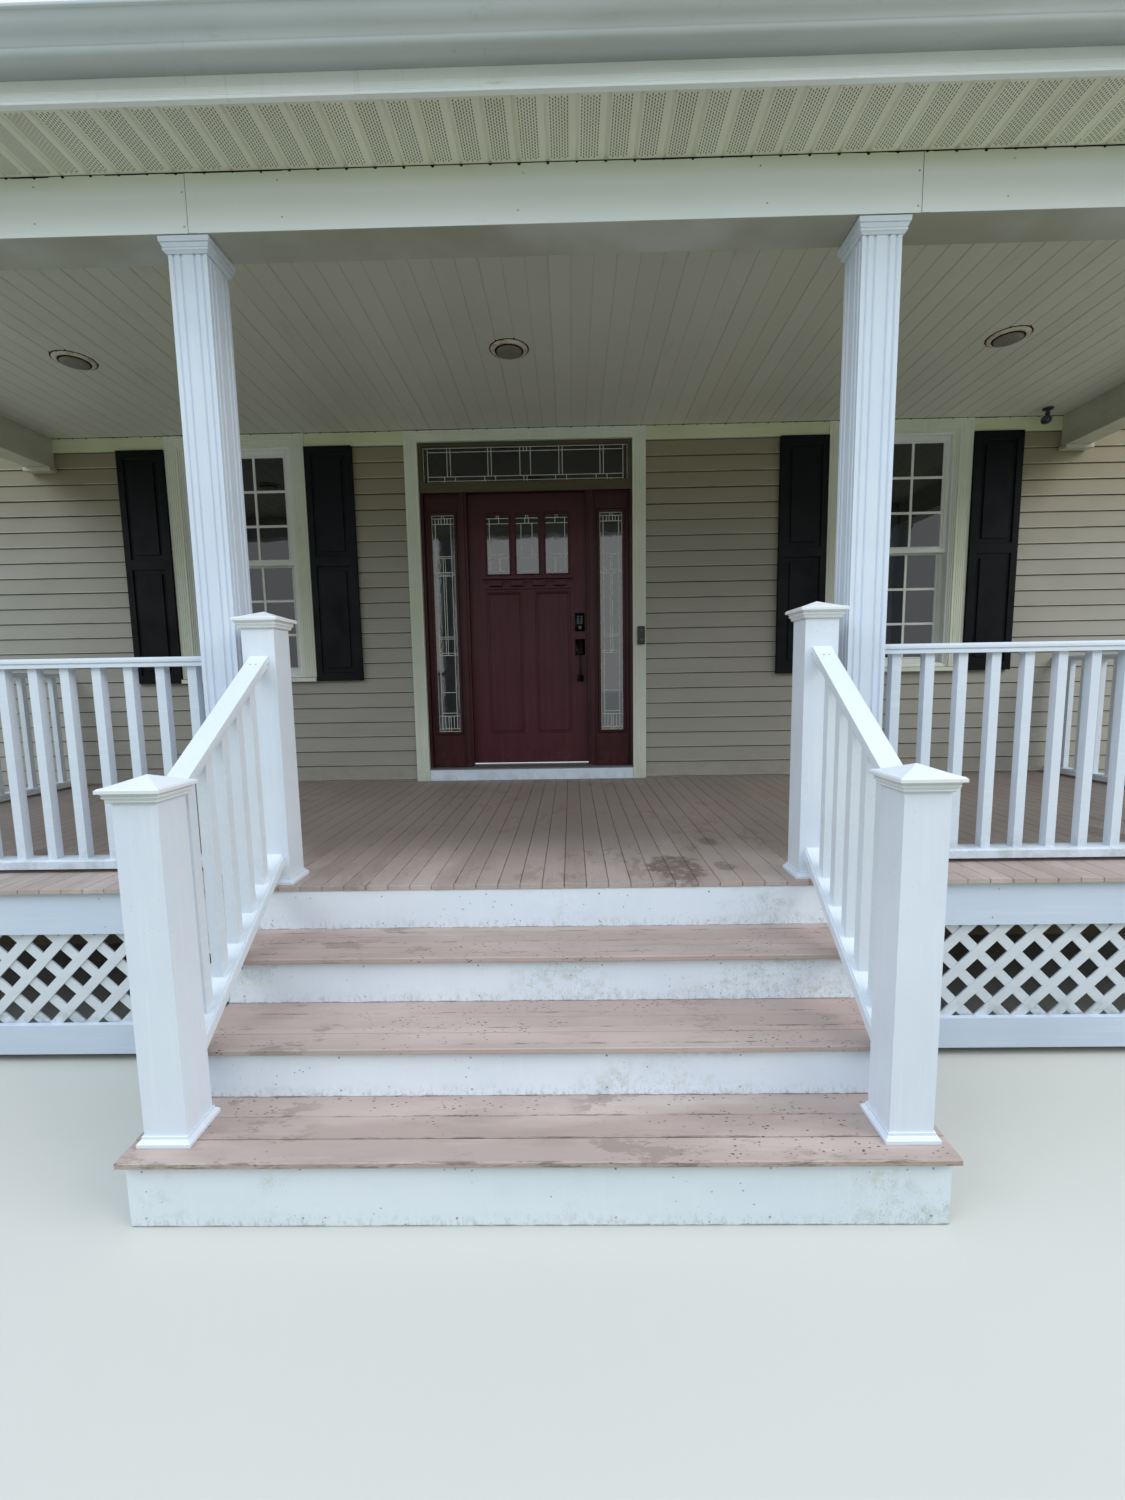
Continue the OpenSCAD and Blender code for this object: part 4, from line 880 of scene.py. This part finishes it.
def sidelight_mouldings():
    s = Shape()
    for pane in SIDELIGHTS:
        s.ring(pane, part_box("sidelight_panels")[0].y, (
            (-21, 0.2), (-19, -4), (-12, -6), (-4, -2), (0.5, 4), (0.5, 16), (-0.5, 16), (-0.5, 0.2)))
    s.piece("sidelight_mouldings", "door_frame_red", PORCH, slot="door_red")


def door_hardware():
    """Keys of the lock, its cylinder, and the screws of the handle's plate."""
    s, t = Shape(), Shape()
    lo, hi = min(solids("door_lock"), key=front)
    x0 = (lo.x + hi.x) / 2
    for row in range(4):
        for x in (x0 - 0.013, x0 + 0.013):
            z = hi.z - 0.026 - row * 0.017
            s.box(x - 0.009, x + 0.009, lo.y - 0.0018, lo.y + 0.001, z - 0.0055, z + 0.0055, 0.0012)
    s.disc((x0, lo.y + 0.001, lo.z + 0.024), "Y", 14, -6, 28, 1.5)
    s.disc((x0, lo.y - 0.004, lo.z + 0.024), "Y", 8, -2.8, 24, 1)
    s.piece("lock_keys", "lock_keys", DOOR, slot="dark_hardware", smooth=35)
    lo, hi = min(solids("door_handle_set"), key=front)
    for z in (hi.z - 0.008, hi.z - 0.112, lo.z + 0.007):
        t.disc(((lo.x + hi.x) / 2, hi.y - 0.011, z), "Y", 3.8, -2.4, 16, 0.8)
    t.piece("handle_screws", "dark_hardware", DOOR, slot="dark_hardware", smooth=35)


def wall_devices():
    """Lens, ring and button of the doorbell."""
    s, t = Shape(), Shape()
    lo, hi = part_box("doorbell")
    x = (lo.x + hi.x) / 2
    s.disc((x, lo.y + 0.002, hi.z - 0.030), "Y", 15, -4.5, 32, 2)
    s.disc((x, lo.y + 0.002, lo.z + 0.032), "Y", 16, -4, 32, 1.5)
    s.piece("bell_parts", "black_lens", PORCH, slot="black_plastic", smooth=35)
    t.disc((x, lo.y - 0.0015, lo.z + 0.032), "Y", 11, -2.2, 32, 1)
    t.piece("bell_button", "lock_keys", PORCH, slot="black_plastic", smooth=35)


window_bars()
window_trims()
door_cames()
entry_cames()
door_mouldings()
sidelight_mouldings()
door_hardware()
wall_devices()

# ---------------------------------------------------------------- lights, roof, gutter, fixings


def light_lenses():
    """Drop lenses of the recessed lights, their gaskets, and a dark ring round each trim that is partly rust stain
    and partly painted shadow, with painted shadow where the ceiling's grooves meet the ring.
    """
    s, dark = Shape(), Shape()
    for lo, hi in solids("ceiling_lights"):
        x0, y0, edge = (lo.x + hi.x) / 2, (lo.y + hi.y) / 2, (hi.x - lo.x) / 2
        s.turn((x0, y0, lo.z), DOWN, (
            (-12, 58), (-12, 65.5), (2, 70.5), (7, 69), (11, 61), (13.5, 45), (14.5, 22), (14.8, 6)), 64)
        dark.turn((x0, y0, lo.z), DOWN, ((-1, 67.5), (3.4, 69.5), (3.4, 77.5), (-1, 79.5)), 64, True)
        rim = edge / MM
        # Dark ring round the trim: partly rust stain, partly painted shadow of the gap.
        dark.turn((x0, y0, ceil_lo.z), DOWN, (
            (-1, rim - 3), (1.6, rim - 1), (1.6, rim + 5.8), (-1, rim + 7.2)), 72, True, 1.6)
        # Painted shadow in each groove where it runs under the ring.
        for k, x in rows_between(lo.x + 0.012, hi.x - 0.012, CEIL_PHASE):
            y = y0 - math.sqrt(edge ** 2 - (x - x0) ** 2)
            dark.box(x - 0.0040, x + 0.0040, y - 0.015, y + 0.004, ceil_lo.z - 0.0018, ceil_lo.z + 0.001, 0.0008)
    s.piece("light_lenses", "light_lens", PORCH, slot="light_metal", smooth=40)
    dark.piece("light_gaskets_and_shadows", "light_gasket", PORCH, slot="light_metal")


def wall_camera():
    """Small round camera on a ball arm under the ceiling, turned towards the steps."""
    plate = [v.co for v in NODES["security_camera"].data.vertices if v.co.z > ceil_lo.z - 0.002]
    foot = Vector((sum(c.x for c in plate) / len(plate), sum(c.y for c in plate) / len(plate), ceil_lo.z - 0.0005))
    knee = foot + Vector((0.004, 0.006, -0.034))
    body, eye = Shape(), Shape()
    body.turn(foot, DOWN, ((0, 33.5), (6, 33.5), (11, 29), (13, 20)), 40)
    body.turn(foot + Vector((0, 0, -0.009)), knee - foot, ((0, 11), (30, 9.5)), 24)
    body.turn(knee + Vector((0, 0, 0.013)), DOWN, ((0, 6), (4, 12), (10, 15.5), (17, 14.5), (23, 10), (27, 4)), 28)
    start, ahead = knee + Vector((0.014, 0.016, -0.030)), (-0.66, -0.62, -0.30)
    body.turn(start, ahead, (
        (-3, 10), (0, 19), (6, 25.5), (16, 28.5), (66, 28.5), (71, 27), (71, 23.5), (67, 22.5)), 44)
    eye.turn(start, ahead, ((66.5, 22.2), (68.5, 20.5), (69.5, 12.5), (72.5, 10.5), (74, 6), (74.5, 2)), 40)
    body.piece("wall_camera", "black_plastic", PORCH, slot="black_plastic", replaces=["security_camera"], smooth=32)
    eye.piece("wall_camera_eye", "black_lens", PORCH, slot="black_plastic", smooth=32)


def shingles():
    """Shingle tabs on the roof's boards, and the flashing along the wall."""
    s, f = Shape(), Shape()
    deck_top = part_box("roof_deck")[1]

    def at(y):
        return deck_top.z - (deck_top.y - y) * ROOF_RISE

    lo, hi = solids("roof_shingles")[0]
    thick, under = 0.0122, 0.0020
    s.prism([(lo.y + 0.002, at(lo.y) + 0.0006), (hi.y, at(hi.y) + 0.0006), (hi.y, at(hi.y) + under),
             (lo.y + 0.002, at(lo.y) + under)], "X", lo.x + 0.002, hi.x - 0.002)
    y, row = lo.y, 0
    while y < hi.y - 0.03:
        end = min(y + SHINGLE_STEP + 0.014, hi.y)
        x = lo.x - (row % 2) * SHINGLE_TAB / 2 - (row % 3) * 0.011
        while x < hi.x:
            a, b = max(x + 0.003, lo.x), min(x + SHINGLE_TAB - 0.003, hi.x)
            if b - a > 0.02:
                drop = rng.uniform(0, 0.0014)
                t = thick - rng.uniform(0, 0.0012)
                s.prism([(y + drop, at(y) + under), (y + drop, at(y) + t), (end, at(end) + 0.0042),
                         (end, at(end) + under)], "X", a, b)
            x += SHINGLE_TAB
        y += SHINGLE_STEP
        row += 1
    s.piece("shingle_tabs", "asphalt_shingle", slot="shingle", replaces=["roof_shingles"])
    lo, hi = max(solids("roof_shingles"), key=lambda b: b[0].z)
    wall, apron = hi.y, hi.y - 0.10
    f.prism([(wall - 0.0015, hi.z), (wall, hi.z), (wall, at(wall) + 0.014), (apron, at(apron) + 0.0133),
             (apron, at(apron) + 0.0142), (wall - 0.0015, at(wall) + 0.0155)], "X", lo.x, hi.x)
    f.piece("wall_flashing", "flashing_metal", slot="gutter_metal")


def end_siding():
    """Lap siding on the closed ends of the roof."""
    s = Shape()
    for lo, hi in solids("roof_end_walls"):
        out, face = (1, hi.x) if lo.x > 0 else (-1, lo.x)
        front_top = lo.z + 0.103
        rise = (hi.z - front_top) / (hi.y - lo.y)
        z = lo.z
        while z < hi.z - 0.01:
            v = []
            for height, proud in ((z, 0.012), (min(z + COURSE, hi.z - 0.002), 0.003)):
                y, x = lo.y + max(0, height - front_top) / rise, face + out * proud
                v += [(face, y, height), (x, y, height), (x, hi.y, height), (face, hi.y, height)]
            s.add(v, sleeve(2, 4))
            z += COURSE
    s.piece("end_siding", "tan_siding", slot="tan_siding")


def gutter_straps():
    s = Shape()
    lo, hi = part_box("gutter")
    straps, inset = 14, 0.12
    for i in range(straps):
        x = lo.x + inset + (hi.x - lo.x - 2 * inset) * i / (straps - 1)
        s.box(x - 0.012, x + 0.012, lo.y + 0.004, hi.y - 0.0035, hi.z - 0.0115, hi.z - 0.0100, 0.0005)
    s.piece("gutter_straps", "gutter_metal", slot="gutter_metal")


def wrap_joints():
    """Lapped joints of the metal wraps on the beam and the fascia, and the fascia's ribs; beside each beam joint a
    dark line, partly the joint's gap and partly painted shade.
    """
    s, line, t = Shape(), Shape(), Shape()
    y, z0, z1 = beam_lo.y, beam_lo.z + 0.0005, beam_hi.z - 0.001
    for x in BEAM_JOINTS:
        s.box(x, x + 0.030, y - 0.0009, y + 0.0004, z0, z1, 0.0003)
        # Dark line beside each lap: partly the joint's gap, partly painted shade of the lap.
        line.box(x - 0.0014, x, y - 0.0007, y + 0.0004, z0, z1)
    s.piece("wrap_joints", "beam_wrap", slot="trim_white")
    line.piece("wrap_joint_lines", "slot_dark", slot="trim_white")
    lo, hi = max(solids("fascia_boards"), key=width)
    for x in (-1.350, 2.90):
        t.box(x, x + 0.026, lo.y - 0.0009, lo.y + 0.0004, lo.z + 0.001, lo.z + 0.060, 0.0003)
    for z in (0.010, 0.030):
        t.box(lo.x + 0.002, hi.x - 0.002, lo.y - 0.0012, lo.y + 0.0004, lo.z + z, lo.z + z + 0.003, 0.0004)
    t.piece("fascia_ribs", "fascia_metal", slot="fascia_metal")


def nails():
    s = Shape()

    def nail(x, face, z):
        s.disc((x, face + 0.0005, z), "Y", 3.3, -1.4, 12, 0.4)

    for x in BEAM_JOINTS:
        for z in (0.022, 0.135):
            nail(x - 0.014, beam_lo.y, beam_lo.z + z)
    for i in range(9):
        x = beam_lo.x + 0.35 + i * 0.86 + rng.uniform(-0.05, 0.05)
        for z in (0.045, 0.165):
            nail(x + rng.uniform(-0.02, 0.02), beam_lo.y, beam_lo.z + z)
    for lo, hi in solids("stair_risers"):
        if hi.x - lo.x > 1:
            for i in range(6):
                x = lo.x + 0.05 + (hi.x - lo.x - 0.10) * i / 5 + rng.uniform(-0.01, 0.01)
                for z in (lo.z + 0.022, hi.z - 0.022):
                    nail(x, lo.y, z + rng.uniform(-0.004, 0.004))
    lo, hi = max(solids("deck_rim_boards"), key=width)
    for side in (-1, 1):
        for i in range(6):
            for z in (lo.z + 0.03, hi.z - 0.03):
                nail(side * (1.20 + i * 0.50) + rng.uniform(-0.01, 0.01), lo.y, z)
    s.piece("nail_heads", "nail_paint", slot="trim_white")


def rail_screws():
    """Screw heads where the stair rails meet the newels."""
    s = Shape()
    slope, inset = 0.71, 0.045
    for lo, hi in solids("stair_rails"):
        for side in (-0.010, 0.010):
            for y in (lo.y + inset, hi.y - inset):
                s.disc(((lo.x + hi.x) / 2 + side, y, hi.z - slope * (hi.y - y) - 0.0006), "Z", 3.4, 1.6, 12, 0.4)
    s.piece("rail_screws", "nail_paint", slot="rail_white")


def newel_crack():
    """A hairline crack in the front of the left lower newel, above its base trim."""
    s = Shape()
    posts = [b for b in solids("newel_posts") if b[1].z - b[0].z > 0.5 and b[0].x < 0]
    lo = min(posts, key=front)[0]
    trim, half = 0.015, 0.0005
    line = [(lo.x + trim + across * MM, lo.z + up * MM) for across, up in (
        (22, 140), (36, 147), (47, 146), (60, 154), (74, 156), (86, 165), (98, 168))]
    s.prism([(x, z - half) for x, z in line] + [(x, z + half) for x, z in reversed(line)], "Y",
            lo.y + trim - 0.0002, lo.y + trim + 0.0006)
    s.piece("newel_crack", "slot_dark", slot="rail_white")


def gap_line(s, x0, x1, face, z, phase):
    """A ragged painted shadow line under panels at height z, with a notch of painted shadow at each groove."""
    x = x0
    while x < x1 - 0.01:
        end = min(x + rng.uniform(0.05, 0.30), x1)
        s.box(x, end, face - 0.0009, face + 0.001, z - rng.uniform(0.0022, 0.0052), z - 0.0002)
        x = end
    for k, x in rows_between(x0 + 0.008, x1 - 0.008, phase):
        w, deep = rng.uniform(0.0045, 0.0065), rng.uniform(0.007, 0.011)
        s.prism([(x - w, z - 0.0002), (x - w * 0.9, z - deep * 0.7), (x, z - deep), (x + w * 0.9, z - deep * 0.7),
                 (x + w, z - 0.0002)], "Y", face - 0.0014, face + 0.001)


def shadow_gaps():
    """Painted shadow in the gaps between the ceiling and soffit panels and the trim under them."""
    s = Shape()
    heads = [b for n in ("door_casing", "window_casings") for b in solids(n)
             if b[1].z > ceil_lo.z - 0.002 and width(b) > 0.5]
    for lo, hi in solids("frieze_board") + heads:
        gap_line(s, lo.x, hi.x, lo.y, ceil_lo.z, CEIL_PHASE)
    lo, hi = max(solids("eave_soffit"), key=width)
    gap_line(s, max(lo.x, beam_lo.x), min(hi.x, beam_hi.x), beam_lo.y, lo.z, SOFFIT_PHASE)
    s.piece("shadow_gaps", "slot_dark", slot="ceiling_panel")


def door_lines():
    """Painted shadow lines, with some grime, in the corners of the door's panels and under its shelf and dentils."""
    s = Shape()
    face, foot = SLAB_LO.y, SLAB_LO.z
    for panel in DOOR_PANELS:
        s.ring(panel, face, ((-1.6, 0.4), (-1.6, -0.3), (0.4, -0.3), (0.4, 0.4)))
        s.ring(panel, face, ((17.6, 9.4), (17.6, 8.2), (20.2, 8.2), (20.2, 9.4)))
    for k in range(4):
        x = SLAB_MID + (k - 1.5) * 0.163
        s.box(x - 0.0475, x + 0.0475, face - 0.0010, face + 0.0004, foot + 1.3485, foot + 1.3535)
    for y0, y1, z0, z1 in ((-0.0128, -0.0110, 1.3975, 1.4015), (-0.0008, 0.0004, 1.3265, 1.3295)):
        s.box(SLAB_MID - 0.338, SLAB_MID + 0.338, face + y0, face + y1, foot + z0, foot + z1)
    s.piece("door_lines", "door_lines", DOOR, slot="door_red")


light_lenses()
wall_camera()
shadow_gaps()
door_lines()
shingles()
end_siding()
gutter_straps()
wrap_joints()
nails()
rail_screws()
newel_crack()

# ---------------------------------------------------------------- stage, light, camera


def by_ray(tree, lighting, seen):
    """Joins two shaders: seen for what the camera, a mirror or glass looks at, lighting for all else."""
    rays = node(tree, "LightPath").outputs
    total = rays["Is Camera Ray"]
    for name in ("Is Glossy Ray", "Is Transmission Ray"):
        total = node(tree, "Math", {0: total, 1: rays[name]}, operation="MAXIMUM").outputs[0]
    mix = node(tree, "MixShader", {0: total, 1: lighting.outputs[0], 2: seen.outputs[0]})
    return {"Surface": mix.outputs[0]}


def stage():
    """Plain pale floor."""
    r, z = 60.0, -0.002
    mesh = bpy.data.meshes.new("floor")
    mesh.from_pydata([(-r, -r, z), (r, -r, z), (r, r, z), (-r, r, z)], [], [(0, 1, 2, 3)])
    floor = bpy.data.objects.new("floor", mesh)
    bpy.context.scene.collection.objects.link(floor)
    mat = bpy.data.materials.new("floor_pale")
    mat.use_nodes = True
    tree = mat.node_tree
    tree.nodes.clear()
    seen = node(tree, "BsdfDiffuse", {"Color": (0.60, 0.585, 0.535, 1)})
    bounce = node(tree, "BsdfDiffuse", {"Color": (0.35, 0.335, 0.25, 1)})
    node(tree, "OutputMaterial", by_ray(tree, bounce, seen))
    mesh.materials.append(mat)


def world():
    """Sky that lights the porch, darker towards the horizon, before a white background."""
    w = bpy.data.worlds.new("studio")
    bpy.context.scene.world = w
    w.use_nodes = True
    tree = w.node_tree
    tree.nodes.clear()
    height = node(tree, "SeparateXYZ", {0: node(tree, "TexCoord").outputs["Generated"]}).outputs["Z"]
    rise = node(tree, "MapRange", {"Value": height, "From Min": 0.07, "From Max": 0.78}).outputs["Result"]
    tone = node(tree, "Mix", {0: rise, 6: (0.21, 0.22, 0.165, 1), 7: (1.27, 1.50, 1.76, 1)}, data_type="RGBA")
    light = node(tree, "Background", {"Color": tone.outputs[2]})
    back = node(tree, "Background", {"Color": (0.93, 0.96, 1.0, 1)})
    node(tree, "OutputWorld", by_ray(tree, light, back))


def lamp(name, spot, power, color):
    data = bpy.data.lights.new(name, "AREA")
    data.shape = "RECTANGLE"
    data.size, data.size_y = 7, 5
    data.energy, data.color = power, color
    obj = bpy.data.objects.new(name, data)
    bpy.context.scene.collection.objects.link(obj)
    obj.location = spot
    obj.rotation_euler = (Vector((0, -1.0, 0.8)) - Vector(spot)).to_track_quat("-Z", "Y").to_euler()
    obj.visible_glossy = False


def camera():
    """The photograph's camera, solved from points of the porch in it."""
    focal_px, long_side = 612.88, 1500
    yaw, pitch, roll = (math.radians(a) for a in (-0.8985, -6.4341, -0.9609))
    data = bpy.data.cameras.new("camera")
    data.lens = data.sensor_width * focal_px / long_side
    data.clip_start, data.clip_end = 0.02, 200
    obj = bpy.data.objects.new("camera", data)
    bpy.context.scene.collection.objects.link(obj)
    obj.matrix_world = (Matrix.Translation((0.1174, -3.1783, 1.4685)) @ Matrix.Rotation(-yaw, 4, "Z")
                        @ Matrix.Rotation(math.pi / 2 + pitch, 4, "X") @ Matrix.Rotation(roll, 4, "Z"))
    bpy.context.scene.camera = obj


stage()
world()
camera()
lamp("sky_left", (-8.5, -6.5, 8.0), 430, (0.82, 0.92, 1.0))
lamp("sky_right", (9.5, -5.0, 7.5), 580, (1.0, 0.98, 0.94))
bpy.context.scene.view_settings.view_transform = "Standard"
